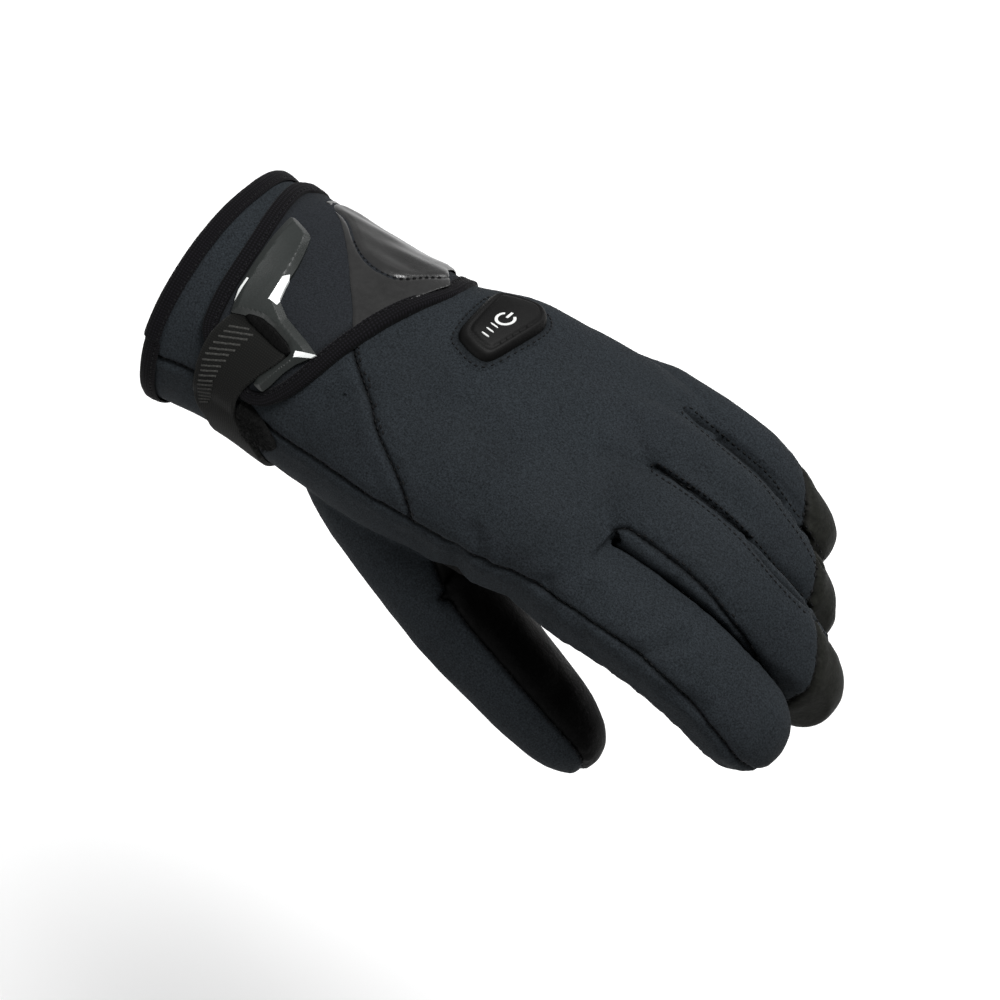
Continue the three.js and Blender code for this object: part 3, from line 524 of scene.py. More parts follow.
def on_photo(pixels, height):
    """Unrolled places of the photo's pixels at a height over the body."""
    pixels = np.asarray(pixels, float)
    flat = np.tile([10.0, 77.0], (len(pixels), 1))
    for _ in range(20):
        here = pixels_of(place(flat, height))
        along = (pixels_of(place(flat + (0.1, 0), height)) - here) / 0.1
        turn = (pixels_of(place(flat + (0, 0.1), height)) - here) / 0.1
        miss = pixels - here
        det = along[:, 0] * turn[:, 1] - along[:, 1] * turn[:, 0]
        du = (miss[:, 0] * turn[:, 1] - miss[:, 1] * turn[:, 0]) / det
        dv = (along[:, 0] * miss[:, 1] - along[:, 1] * miss[:, 0]) / det
        flat = flat + np.clip(np.stack([du, dv], 1), -12, 12)
    return flat


def turned(rows):
    """Unrolled places from pairs of mm along X and degrees of turn."""
    return np.array([(x, turn / DEGREES_PER_MM) for x, turn in rows], float)


def curve(points, pitch, closed=False, rounds=2):
    """A rounded line through points, resampled at an even pitch."""
    points = np.asarray(points, float)
    for _ in range(rounds):
        nxt = np.roll(points, -1, 0) if closed else points[1:]
        now = points if closed else points[:-1]
        cut = np.stack([0.75 * now + 0.25 * nxt, 0.25 * now + 0.75 * nxt], 1).reshape(-1, points.shape[1])
        points = cut if closed else np.concatenate([points[:1], cut, points[-1:]])
    if closed:
        points = np.concatenate([points, points[:1]])
    steps = np.linalg.norm(np.diff(points, axis=0), axis=1)
    at = np.concatenate([[0], np.cumsum(steps)])
    count = max(2, int(round(at[-1] / pitch)) + 1)
    wanted = np.linspace(0, at[-1], count)[:-1] if closed else np.linspace(0, at[-1], count)
    return np.stack([np.interp(wanted, at, points[:, i]) for i in range(points.shape[1])], 1)


def inside(points, outline):
    """Distance in from a closed outline, negative outside, and the place along it."""
    a, b = outline, np.roll(outline, -1, 0)
    e = b - a
    span = np.maximum((e * e).sum(1), 1e-9)
    starts = np.concatenate([[0], np.cumsum(np.sqrt(span))[:-1]])
    found, arcs = [], []
    for part in np.array_split(points, max(1, len(points) // 20000)):
        w = part[:, None] - a[None]
        t = np.clip((w * e).sum(-1) / span, 0, 1)
        d = ((w - e * t[..., None]) ** 2).sum(-1)
        nearest = d.argmin(1)
        own = np.arange(len(part))
        x, y = part[:, :1], part[:, 1:]
        crossing = (a[:, 1] <= y) != (b[:, 1] <= y)
        with np.errstate(divide="ignore", invalid="ignore"):
            left = x < a[:, 0] + (y - a[:, 1]) * e[:, 0] / e[:, 1]
        odd = (crossing & left).sum(1) % 2
        found.append(np.sqrt(d[own, nearest]) * (odd * 2 - 1))
        arcs.append(starts[nearest] + t[own, nearest] * np.sqrt(span)[nearest])
    return np.concatenate(found), np.concatenate(arcs)


def distance_to(points, line):
    """Distance of unrolled places from an open line."""
    tree = KDTree(len(line))
    for i, p in enumerate(line):
        tree.insert((p[0], p[1], 0), i)
    tree.balance()
    return np.array([tree.find((p[0], p[1], 0))[2] for p in points])


def flat_grid(outline, pitch):
    low, high = outline.min(0) - pitch, outline.max(0) + pitch
    counts = np.ceil((high - low) / pitch).astype(int) + 1
    u, v = np.meshgrid(low[0] + pitch * np.arange(counts[0]), low[1] + pitch * np.arange(counts[1]), indexing="ij")
    index = np.arange(counts[0] * counts[1]).reshape(counts)
    a, b, c, d = index[:-1, :-1], index[1:, :-1], index[1:, 1:], index[:-1, 1:]
    tris = np.concatenate([np.stack([a, b, c], -1).reshape(-1, 3), np.stack([a, c, d], -1).reshape(-1, 3)])
    return np.stack([u.ravel(), v.ravel()], 1), tris


def rim_of(tris):
    """Directed edges that belong to one triangle only."""
    edges = np.concatenate([tris[:, [0, 1]], tris[:, [1, 2]], tris[:, [2, 0]]])
    key = edges[:, 0].astype(np.int64) << 32 | edges[:, 1]
    back = edges[:, 1].astype(np.int64) << 32 | edges[:, 0]
    return edges[~np.isin(key, back)]


def plate(outline, low, top, pitch=0.7, border=None, cuts=()):
    """A plate on the body inside an outline, or only along its border, with its top from a function.

    Returns vertices, triangles and flat places. top takes distance in, place along and flat places.
    """
    flat, tris = flat_grid(outline, pitch)
    near = inside(flat, outline)[0]
    tris = tris[(near[tris] > -2 * pitch).any(1)]
    flat, tris = cut_mesh(flat, tris, near)
    near, arc = inside(flat, outline)
    tris = tris[near[tris].mean(1) > 0]
    if border is not None:
        flat, tris = cut_mesh(flat, tris, border - near)
        near, arc = inside(flat, outline)
        tris = tris[near[tris].mean(1) < border]
    for zone in cuts:
        flat, tris = cut_mesh(flat, tris, inside(flat, zone)[0])
        near, arc = inside(flat, outline)
    used, tris = np.unique(tris, return_inverse=True)
    tris = tris.reshape(-1, 3)
    flat, near, arc = flat[used], near[used], arc[used]
    base = low(flat) if callable(low) else np.full(len(flat), float(low))
    verts = place(flat, base + top(near, arc, flat))
    out = place(flat, base + 9) - place(flat, base)
    if (normals_of(verts, tris) * out).sum() < 0:
        tris = tris[:, ::-1]
    rim = rim_of(tris)
    ring, ends = np.unique(rim, return_inverse=True)
    ends = ends.reshape(-1, 2) + len(verts)
    skirt = np.concatenate([
        np.stack([rim[:, 1], rim[:, 0], ends[:, 0]], 1),
        np.stack([rim[:, 1], ends[:, 0], ends[:, 1]], 1),
    ])
    verts = np.concatenate([verts, place(flat[ring], base[ring])])
    flat = np.concatenate([flat, flat[ring]])
    coords = np.stack([np.concatenate([arc, arc[ring]]), np.concatenate([near, near[ring]])], 1)
    return verts, np.concatenate([tris, skirt]), flat, coords


def rise(distance, width):
    """Goes from 0 to 1 over a width, like the round edge of a thick sheet."""
    t = np.clip(distance / width, 0, 1)
    return np.sqrt(1 - (1 - t) ** 2)


def dip(distance, width):
    return np.exp(-(distance / width) ** 2)


def grain(points, size, seed):
    """Smooth noise between about -1 and 1 at points in mm."""
    offset = Vector((seed * 7.3, seed * 3.1, seed * 5.7))
    return np.array([noise.noise(Vector(p) / size + offset) for p in points]) * 1.6




def add_piece(name, verts, tris, material, slot, uv=None, tone_and_painted_light=None, sharp=None, covers=()):
    """A finished piece of the glove, riding on its body."""
    piece = new_object(name, verts, tris)
    mesh = piece.data
    if sharp is None:
        mesh.shade_smooth()
    else:
        mesh.shade_smooth()
        mesh.set_sharp_from_angle(angle=math.radians(sharp))
    corners = np.asarray(tris).ravel()
    layer = mesh.uv_layers.new(name="cloth")
    places = np.asarray(verts)[:, :2] if uv is None else np.asarray(uv)
    layer.data.foreach_set("uv", (places[corners] * 0.01).astype(np.float32).ravel())
    shade = mesh.color_attributes.new("tone_and_painted_light", "FLOAT_COLOR", "POINT")
    values = np.ones(len(verts)) if tone_and_painted_light is None else np.asarray(tone_and_painted_light, float)
    colours = np.stack([values, values, values, np.ones(len(verts))], 1)
    shade.data.foreach_set("color", colours.astype(np.float32).ravel())
    mesh.materials.append(material)
    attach(piece, "root")
    if covers:
        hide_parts(*covers)
    return piece


def stitches(rows, radius=0.32, share=0.62):
    """Small thread capsules along rows of points with normals."""
    all_verts, all_tris = [], []
    sides = 6
    around = np.arange(sides) / sides * TAU
    count = 0
    for points, normals in rows:
        ahead = np.roll(points, -1, 0) - np.roll(points, 1, 0)
        ahead[0], ahead[-1] = points[1] - points[0], points[-1] - points[-2]
        ahead /= np.maximum(np.linalg.norm(ahead, axis=1, keepdims=True), 1e-9)
        side = np.cross(normals, ahead)
        side /= np.maximum(np.linalg.norm(side, axis=1, keepdims=True), 1e-9)
        up = np.cross(ahead, side)
        pitch = np.linalg.norm(np.diff(points, axis=0), axis=1).mean()
        half = pitch * share / 2
        for p, a, s, u in zip(points, ahead, side, up):
            rings = [p - a * half - u * 0.15]
            for along, size in ((-0.7, 0.75), (0.0, 1.0), (0.7, 0.75)):
                middle = p + a * half * along + u * radius * 0.35 * size
                rings.append(middle + radius * size * (s * np.cos(around)[:, None] + u * np.sin(around)[:, None]))
            rings.append(p + a * half - u * 0.15)
            verts = np.vstack(rings)
            tris = []
            for k in range(sides):
                n = (k + 1) % sides
                tris.append((0, 1 + n, 1 + k))
                for r in range(2):
                    i, j = 1 + r * sides, 1 + (r + 1) * sides
                    tris += [(i + k, i + n, j + n), (i + k, j + n, j + k)]
                tris.append((1 + 2 * sides + k, 1 + 2 * sides + n, 1 + 3 * sides))
            all_verts.append(verts)
            all_tris.append(np.array(tris) + count)
            count += len(verts)
    return np.concatenate(all_verts), np.concatenate(all_tris)


def flat_row(line, height, pitch=2.6):
    """A row of stitch places on the body along an unrolled line."""
    line = curve(line, pitch, rounds=1)
    h = height(line) if callable(height) else np.full(len(line), float(height))
    points = place(line, h)
    normals = place(line, h + 5) - points
    return points, normals / np.linalg.norm(normals, axis=1, keepdims=True)


# Materials
def new_material(name, colour, roughness, specular=0.5, sheen=0.0, coat=0.0, metallic=0.0):
    material = bpy.data.materials.new(name)
    material.use_nodes = True
    tree = material.node_tree
    shader = tree.nodes["Principled BSDF"]
    shader.inputs["Base Color"].default_value = (*colour, 1)
    shader.inputs["Roughness"].default_value = roughness
    shader.inputs["Specular IOR Level"].default_value = specular
    shader.inputs["Sheen Weight"].default_value = sheen
    shader.inputs["Sheen Roughness"].default_value = 0.5
    shader.inputs["Coat Weight"].default_value = coat
    shader.inputs["Coat Roughness"].default_value = 0.12
    shader.inputs["Metallic"].default_value = metallic
    return material, tree, shader


def texture(tree, kind, coords, scale, **settings):
    node = tree.nodes.new(kind)
    for key, value in settings.items():
        if key in node.inputs:
            node.inputs[key].default_value = value
        else:
            setattr(node, key, value)
    node.inputs["Scale"].default_value = scale
    tree.links.new(coords, node.inputs["Vector"])
    return node


def mapped(tree, value, low, high, to_low, to_high):
    node = tree.nodes.new("ShaderNodeMapRange")
    for i, number in enumerate((low, high, to_low, to_high)):
        node.inputs[i + 1].default_value = number
    tree.links.new(value, node.inputs[0])
    return node.outputs[0]


def multiplied(tree, a, b):
    node = tree.nodes.new("ShaderNodeMath")
    node.operation = "MULTIPLY"
    tree.links.new(a, node.inputs[0])
    if isinstance(b, float):
        node.inputs[1].default_value = b
    else:
        tree.links.new(b, node.inputs[1])
    return node.outputs[0]


def coloured(tree, shader, dark, light, factor):
    """Base colour between two by a factor, darkened by the piece's per-point tone, which also carries painted shade
    and painted highlights.
    """
    mix = tree.nodes.new("ShaderNodeMix")
    mix.data_type = "RGBA"
    mix.inputs["A"].default_value = (*dark, 1)
    mix.inputs["B"].default_value = (*light, 1)
    tree.links.new(factor, mix.inputs["Factor"])
    tone_and_painted_light = tree.nodes.new("ShaderNodeAttribute")
    tone_and_painted_light.attribute_name = "tone_and_painted_light"
    shade = tree.nodes.new("ShaderNodeMix")
    shade.data_type = "RGBA"
    shade.blend_type = "MULTIPLY"
    shade.inputs["Factor"].default_value = 1.0
    tree.links.new(mix.outputs["Result"], shade.inputs["A"])
    tree.links.new(tone_and_painted_light.outputs["Color"], shade.inputs["B"])
    tree.links.new(shade.outputs["Result"], shader.inputs["Base Color"])


def bumped(tree, shader, height, distance, strength=1.0):
    bump = tree.nodes.new("ShaderNodeBump")
    bump.inputs["Distance"].default_value = distance
    bump.inputs["Strength"].default_value = strength
    tree.links.new(height, bump.inputs["Height"])
    tree.links.new(bump.outputs["Normal"], shader.inputs["Normal"])


def speckled(name, colour, contrast, size, bump, roughness, sheen, specular, wear=0.12):
    """Brushed cloth or leather: fine speckle, slow colour drift, uneven roughness and a fine bump."""
    material, tree, shader = new_material(name, colour, roughness, specular, sheen)
    coords = tree.nodes.new("ShaderNodeTexCoord").outputs["Object"]
    fine = texture(tree, "ShaderNodeTexNoise", coords, 1000 / size, Detail=3.0, Roughness=0.7)
    slow = texture(tree, "ShaderNodeTexNoise", coords, 45, Detail=3.0, Roughness=0.55)
    spots = mapped(tree, fine.outputs[0], 0.32, 0.68, 0.0, 1.0)
    drift = mapped(tree, slow.outputs[0], 0.3, 0.7, 1 - wear, 1.0)
    factor = multiplied(tree, spots, drift)
    dark = tuple(c * (1 - contrast) for c in colour)
    light = tuple(c * (1 + contrast) for c in colour)
    coloured(tree, shader, dark, light, factor)
    tree.links.new(mapped(tree, slow.outputs[0], 0.3, 0.7, roughness - 0.06, roughness + 0.06), shader.inputs["Roughness"])
    bumped(tree, shader, fine.outputs[0], bump)
    return material


def woven(name, colour, contrast, size, bump, roughness, across=1.0, sheen=0.02):
    """Woven tape: two crossing waves of threads in the piece's own layout."""
    material, tree, shader = new_material(name, colour, roughness, 0.1, sheen)
    uv = tree.nodes.new("ShaderNodeTexCoord").outputs["UV"]
    ribs = texture(tree, "ShaderNodeTexWave", uv, 10 / size, wave_type="BANDS", bands_direction="X", Distortion=1.6)
    rows = texture(tree, "ShaderNodeTexWave", uv, 10 / size * across, wave_type="BANDS", bands_direction="Y", Distortion=1.6)
    rough = texture(tree, "ShaderNodeTexNoise", uv, 260, Detail=2.0)
    threads = multiplied(tree, ribs.outputs["Fac"], rows.outputs["Fac"])
    uneven = multiplied(tree, threads, mapped(tree, rough.outputs[0], 0.3, 0.7, 0.6, 1.0))
    dark = tuple(c * (1 - contrast) for c in colour)
    light = tuple(c * (1 + contrast) for c in colour)
    coloured(tree, shader, dark, light, uneven)
    spread = mapped(tree, rough.outputs[0], 0.3, 0.7, roughness - 0.05, min(1.0, roughness + 0.05))
    tree.links.new(spread, shader.inputs["Roughness"])
    bumped(tree, shader, threads, bump)
    return material


SOFTSHELL = speckled("softshell", (0.0125, 0.0152, 0.0178), 0.62, 0.6, 0.00015, 0.92, 0.0, 0.1)
FLAP_CLOTH = speckled("flap_cloth", (0.0112, 0.0128, 0.0152), 0.5, 0.55, 0.0001, 0.9, 0.0, 0.1)
# Black leather, also used for the painted shadow sheet in the anchor's slot
LEATHER_AND_SLOT_SHADOW = speckled("leather", (0.0012, 0.0012, 0.0012), 0.6, 1.6, 0.0003, 0.6, 0.0, 0.06)
CAP_LEATHER = speckled("palm_leather", (0.0072, 0.0076, 0.0061), 0.4, 1.4, 0.0002, 0.68, 0.0, 0.1)
LINING = speckled("lining", (0.007, 0.007, 0.0075), 0.5, 1.2, 0.0005, 0.95, 0.05, 0.1)
FUZZ = speckled("fuzz", (0.0045, 0.0046, 0.0045), 0.6, 0.7, 0.0006, 0.95, 0.02, 0.08)
THREAD = speckled("thread", (0.0035, 0.0036, 0.004), 0.3, 0.5, 0.0001, 0.75, 0.0, 0.15)
FILM = speckled("gloss_film", (0.009, 0.009, 0.009), 0.3, 3.0, 0.00006, 0.3, 0.0, 0.5)
RUBBER = speckled("button_rubber", (0.0026, 0.0026, 0.0026), 0.2, 0.9, 0.00004, 0.55, 0.0, 0.1)
PLASTIC = speckled("moulded_plastic", (0.012, 0.0142, 0.0134), 0.12, 0.7, 0.00003, 0.38, 0.0, 0.3)
# Painted highlight: a near-white colour laid on chosen bevels of the anchor
PAINTED_HIGHLIGHT = speckled("painted_bevel_highlight", (0.7, 0.72, 0.71), 0.06, 0.9, 0.00003, 0.22, 0.0, 0.6)
PRINT = speckled("button_print", (0.5, 0.51, 0.5), 0.08, 0.6, 0.00003, 0.55, 0.0, 0.4)
EDGING = woven("edging", (0.0044, 0.004, 0.0054), 0.8, 0.3, 0.00012, 0.94, 0.8)
WEBBING = woven("webbing", (0.0066, 0.0067, 0.0062), 0.35, 0.28, 0.0001, 0.85)
BARS = woven("webbing_bars", (0.04, 0.04, 0.0375), 0.3, 0.4, 0.0001, 0.85)


# The cuff's edge: its turn in degrees and its place in mm
CUFF_EDGE = rows_of("turn x", [
    (0, -31.5), (40, -31.5), (60, -31.1), (80, -31.0), (100, -30.8), (118, -30.8), (135, -30.8),
    (150, -30.6), (170, -30.2), (200, -30.5), (260, -30.5), (330, -31.0), (360, -31.5),
])


def turn_of(verts):
    """Turn in degrees of points near the cuff."""
    across = (verts[:, 1] + 0.03 * BODY_WIDTH) / (0.477 * BODY_WIDTH)
    up = (verts[:, 2] + 0.01 * BODY_DEPTH) / (0.475 * BODY_DEPTH)
    return np.degrees(np.arctan2(up, across)) % 360


def cuff_edge(verts):
    """X of the cuff's edge for points round it."""
    return smooth(CUFF_EDGE, "turn", "x", turn_of(verts)) - 0.09 * verts[:, 1]


def closed_gaps(verts):
    """The facing sides of the fingers moved close to each other again."""
    for finger in FINGERS:
        for neighbour in neighbours_of(finger):
            over, lean = press_offset(verts, finger, neighbour)
            mine = (verts[:, 1] - press_side(finger, neighbour)) * (neighbour["side"] - finger["side"]) < 0
            near = np.clip((over + FINGER_GAP / 2 + 4) / 4, 0, 1) * (over < 0) * mine
            near = near * np.clip((verts[:, 0] - 0.9 * PALM_LENGTH) / 8, 0, 1)
            near = near * np.clip((finger["points"][-1, 0] - 7 - verts[:, 0]) / 8, 0, 1)
            verts = verts + lean * (near * FINGER_CLOSE)[:, None]
    return verts


def seams_between(tris, label):
    """Edges between two panels, with the labels on their two sides."""
    edges = np.concatenate([tris[:, [0, 1]], tris[:, [1, 2]], tris[:, [2, 0]]])
    owner = np.tile(np.arange(len(tris)), 3)
    ordered = np.sort(edges, 1)
    order = np.lexsort((ordered[:, 1], ordered[:, 0]))
    first, second = order[:-1], order[1:]
    same = (ordered[first] == ordered[second]).all(1)
    first, second = first[same], second[same]
    mixed = label[owner[first]] != label[owner[second]]
    labels = np.stack([label[owner[first]], label[owner[second]]], 1)[mixed]
    return ordered[first][mixed], labels


def chains_of(edges):
    """Runs of edges joined end to end, the longest first."""
    links = {}
    for a, b in edges:
        links.setdefault(int(a), []).append(int(b))
        links.setdefault(int(b), []).append(int(a))
    seen, chains = set(), []
    starts = sorted(v for v in links if len(links[v]) != 2) + sorted(links)
    for start in starts:
        for step in links[start]:
            if (start, step) in seen:
                continue
            chain, before, now = [start], start, step
            while True:
                seen.update([(before, now), (now, before)])
                chain.append(now)
                onward = [v for v in links[now] if (now, v) not in seen]
                if len(links[now]) != 2 or not onward:
                    break
                before, now = now, onward[0]
            chains.append(chain)
    return sorted(chains, key=len, reverse=True)


# Folds in the cloth: the photo's pixels that they run through, their depth and half width in mm
FOLDS = [
    ([(457, 553), (453, 575), (449, 597)], 1.5, 3.6),
    ([(474, 530), (479, 548), (484, 562)], 0.8, 2.6),
    ([(548, 583), (550, 600), (546, 620)], 1.0, 2.6),
    ([(560, 608), (576, 600), (592, 590)], 0.5, 3.6),
    ([(640, 655), (658, 650), (678, 640)], 0.9, 3.0),
    ([(604, 451), (628, 460), (655, 471)], 1.0, 3.6),
    ([(508, 452), (486, 468), (468, 488)], 0.6, 6.0),
    ([(512, 569), (536, 552), (552, 540)], 0.5, 4.0),
    ([(575, 618), (584, 634), (588, 648)], 0.5, 2.6),
    ([(618, 640), (630, 655), (634, 668)], 0.5, 2.6),
    ([(664, 690), (686, 700), (704, 708)], 0.7, 2.4),
    ([(330, 402), (352, 394), (372, 384)], 0.6, 4.0),
    ([(676, 402), (692, 414), (702, 428)], 0.7, 3.0),
    ([(430, 650), (444, 640), (455, 622)], 0.7, 3.0),
    ([(446, 668), (462, 655), (470, 644)], 0.5, 2.6),
    ([(560, 690), (548, 700), (530, 712)], 0.5, 3.4),
    ([(590, 545), (612, 556), (630, 572)], 0.4, 5.0),
    ([(700, 470), (722, 486), (738, 502)], 0.4, 5.0),
    ([(160, 360), (174, 366), (188, 372)], 0.45, 1.2),
    ([(420, 380), (450, 400), (476, 424)], 0.35, 7.0),
]


# Creases between the fingers, as the photo's pixels, with a stitched row on both sides
SLOTS = [
    [(655, 468), (662, 472), (690, 490), (716, 510), (738, 529), (756, 549), (779, 578), (801, 601), (808, 608)],
    [(686, 411), (692, 416), (709, 430), (744, 460), (766, 478), (787, 510), (807, 536), (822, 566)],
]
SLOT_DEPTH = 1.6
SLOT_HALF = 0.9


def on_skin(tree, pixels):
    """Points of the skin under pixels of the photo."""
    found = []
    for px, py in pixels:
        ray = FORWARD + RIGHT * (px - FRAME / 2) / FOCAL + UP * (FRAME / 2 - py) / FOCAL
        hit = tree.ray_cast(Vector(CAMERA_AT), Vector(ray).normalized())[0]
        if hit is not None:
            found.append(tuple(hit))
    return np.array(found)


def nearest_of(targets, points, reach):
    """Distance of points from the nearest target, up to a reach."""
    tree = KDTree(len(targets))
    for i, p in enumerate(targets):
        tree.insert(p, i)
    tree.balance()
    low, high = targets.min(0) - reach, targets.max(0) + reach
    near = ((points > low) & (points < high)).all(1)
    distance = np.full(len(points), reach)
    distance[near] = [min(reach, tree.find(p)[2]) for p in points[near]]
    return distance


SKIN, SKIN_TRIS, SKIN_LABEL = make_panels()
SKIN = closed_gaps(SKIN)
SEAM_EDGES, SEAM_LABELS = seams_between(SKIN_TRIS, SKIN_LABEL)
skin_normals = normals_of(SKIN, SKIN_TRIS)
seam_distance = nearest_of(SKIN[np.unique(SEAM_EDGES)], SKIN, 12.0)
first_tree = BVHTree.FromPolygons(SKIN.tolist(), SKIN_TRIS.tolist())
move = -1.2 * dip(seam_distance, 0.8) + 0.3 * dip(seam_distance - 4.0, 2.2)
puckers = grain(SKIN, 3.2, 1)
slow_waves = grain(SKIN, 26.0, 2)
small_waves = grain(SKIN, 9.0, 3)
move += 0.28 * puckers * dip(seam_distance, 4.5) + 0.5 * slow_waves + 0.16 * small_waves
move += 0.03 * puckers
facing = skin_normals @ (-FORWARD) > -0.1
crease = np.zeros(len(SKIN))
for pixels, depth, half in FOLDS:
    line = on_skin(first_tree, curve(pixels, 3.0))
    if len(line) < 2:
        continue
    line = curve(line, 0.8, rounds=0)
    reach = nearest_of(line, SKIN, 4 * half)
    fold = -depth * dip(reach, half) + 0.3 * depth * dip(reach - 2 * half, half)
    crease += np.where(facing, fold, 0) * (reach < 3.9 * half)
slot_distance = np.full(len(SKIN), 9.0)
for pixels in SLOTS:
    line = on_skin(first_tree, curve(pixels, 3.0))
    slot_distance = np.minimum(slot_distance, np.where(facing, nearest_of(curve(line, 0.6, rounds=0), SKIN, 9.0), 9.0))
crease -= SLOT_DEPTH * dip(slot_distance, SLOT_HALF) - 0.25 * dip(slot_distance - 2.4, 1.2)
move += crease
FULLER = np.clip((SKIN[:, 0] - 84) / 30, 0, 1) * np.clip((186 - SKIN[:, 0]) / 30, 0, 1)
move += 2.4 * FULLER * np.clip((SKIN[:, 1] - FINGERS[3]["side"] + 8) / 12, 0, 1) * (skin_normals[:, 1] > 0)
SKIN = SKIN + skin_normals * move[:, None]
skin_normals = normals_of(SKIN, SKIN_TRIS)
# Cloth tone: darker along the seams' joints and slightly lighter beside them, a slow random drift, painted shade in
# the folds with a little painted light on their shoulders, and deep painted shade down the slots between the fingers
skin_tone_and_painted_shade = 1 - 0.8 * dip(seam_distance, 0.65) + 0.1 * dip(seam_distance - 1.9, 0.8) + 0.06 * slow_waves
skin_tone_and_painted_shade = (skin_tone_and_painted_shade + 0.06 * np.clip(crease, -1, 1)) * (1 - 0.85 * dip(slot_distance, 0.75))
keep = SKIN[SKIN_TRIS].mean(1)
keep = keep[:, 0] > cuff_edge(keep)
PANEL_LOOKS = [
    (SOFTSHELL, "softshell"), (SOFTSHELL, "softshell"), (SOFTSHELL, "softshell"),
    (LEATHER_AND_SLOT_SHADOW, "leather"), (CAP_LEATHER, "leather"), (SOFTSHELL, "softshell"),
]
for i, name in enumerate(PANELS):
    mine = keep & (SKIN_LABEL == i)
    used, faces = np.unique(SKIN_TRIS[mine], return_inverse=True)
    nodes = ["fourchette_1", "fourchette_2", "fourchette_3"] if name == "fourchettes" else [name]
    material, slot = PANEL_LOOKS[i]
    shade = skin_tone_and_painted_shade[used]
    # Painted shade: the palm panel darkens towards the wrist, down to 0.18 of its tone
    if name == "palm_panel":
        shade = shade * np.clip((SKIN[used, 0] - 130) / 30, 0.18, 1)
    piece = add_piece(name + "_cloth", SKIN[used], faces.reshape(-1, 3), material, slot, tone_and_painted_light=shade, covers=nodes)

# The lining, seen through the open cuff
LINING_INSET = 3.4
lining_verts, lining_tris = one_skin("lining_form", LINING_INSET, 2.6, 6)
lining_verts = lining_verts + normals_of(lining_verts, lining_tris) * (0.5 * grain(lining_verts, 7.0, 4))[:, None]
inner = lining_verts[lining_tris].mean(1)
lining_tris = lining_tris[inner[:, 0] > cuff_edge(inner) + 1.0][:, ::-1]
used, faces = np.unique(lining_tris, return_inverse=True)
add_piece("lining", lining_verts[used], faces.reshape(-1, 3), LINING, "flap_cloth")

# Stitching along the seams: the panels on its two sides, the panel that carries it, and its distance
STITCHED = [
    ({0, 1}, 1, 2.2), ({1, 5}, 1, 1.7), ({1, 4}, 1, 1.8), ({1, 4}, 1, 0.7), ({0, 2}, 0, 0.8), ({1, 2}, 1, 0.8),
    ({2, 3}, 2, 0.8), ({0, 1}, 1, 0.7), ({2, 4}, 2, 1.4), ({0, 4}, 0, 1.8),
]
SHORTEST_SEAM = 12
skin_tree = BVHTree.FromPolygons(SKIN.tolist(), SKIN_TRIS.tolist())


def seam_row(chain, wanted, distance, pitch=2.5):
    """Stitch places beside a seam, on the panel that carries them."""
    line = SKIN[chain]
    steps = 9
    pad = np.concatenate([np.repeat(line[:1], steps // 2, 0), line, np.repeat(line[-1:], steps // 2, 0)])
    line = np.stack([np.convolve(pad[:, k], np.ones(steps) / steps, "valid") for k in range(3)], 1)
    line = curve(line, pitch, rounds=0)
    ahead = np.gradient(line, axis=0)
    ahead /= np.maximum(np.linalg.norm(ahead, axis=1, keepdims=True), 1e-9)
    points, normals = [], []
    for p, a in zip(line, ahead):
        hit = skin_tree.find_nearest(Vector(p))
        side = np.cross(np.array(hit[1]), a)
        for way in (1, -1):
            spot = skin_tree.find_nearest(Vector(p + side * way * distance))
            if SKIN_LABEL[spot[2]] == wanted:
                points.append(np.array(spot[0]))
                normals.append(np.array(spot[1]))
                break
    points, normals = np.array(points), np.array(normals)
    if len(points) > 2:
        clear = points[:, 0] > cuff_edge(points) + 6
        points, normals = points[clear], normals[clear]
    return points, normals


rows = []
for pair, wanted, distance in STITCHED:
    both = (np.isin(SEAM_LABELS, list(pair))).all(1)
    for chain in chains_of(SEAM_EDGES[both]):
        if len(chain) > SHORTEST_SEAM:
            points, normals = seam_row(chain, wanted, distance)
            if len(points) > 3:
                gaps = np.linalg.norm(np.diff(points, axis=0), axis=1) > 6
                for part_p, part_n in zip(np.split(points, np.flatnonzero(gaps) + 1), np.split(normals, np.flatnonzero(gaps) + 1)):
                    if len(part_p) > 3:
                        rows.append((part_p, part_n))
SLOT_ROW = 5.4
for pixels in SLOTS:
    line = curve(pixels, 2.0)
    ahead = np.gradient(line, axis=0)
    ahead /= np.linalg.norm(ahead, axis=1, keepdims=True)
    side = np.stack([-ahead[:, 1], ahead[:, 0]], 1)
    start = line[0] - ahead[0] * SLOT_ROW
    loop = np.concatenate([(line + side * SLOT_ROW)[::-1], [start], line - side * SLOT_ROW])
    hits = [skin_tree.ray_cast(Vector(CAMERA_AT), Vector(FORWARD + RIGHT * (x - FRAME / 2) / FOCAL
            + UP * (FRAME / 2 - y) / FOCAL).normalized()) for x, y in curve(loop, 7.0, rounds=1)]
    hits = [hit for hit in hits if hit[0] is not None and Vector(hit[1]).dot(Vector(-FORWARD)) > 0.12]
    rows.append((np.array([tuple(hit[0]) for hit in hits]), np.array([tuple(hit[1]) for hit in hits])))
thread_verts, thread_tris = stitches(rows)
add_piece("seam_stitching", thread_verts, thread_tris, THREAD, "softshell")

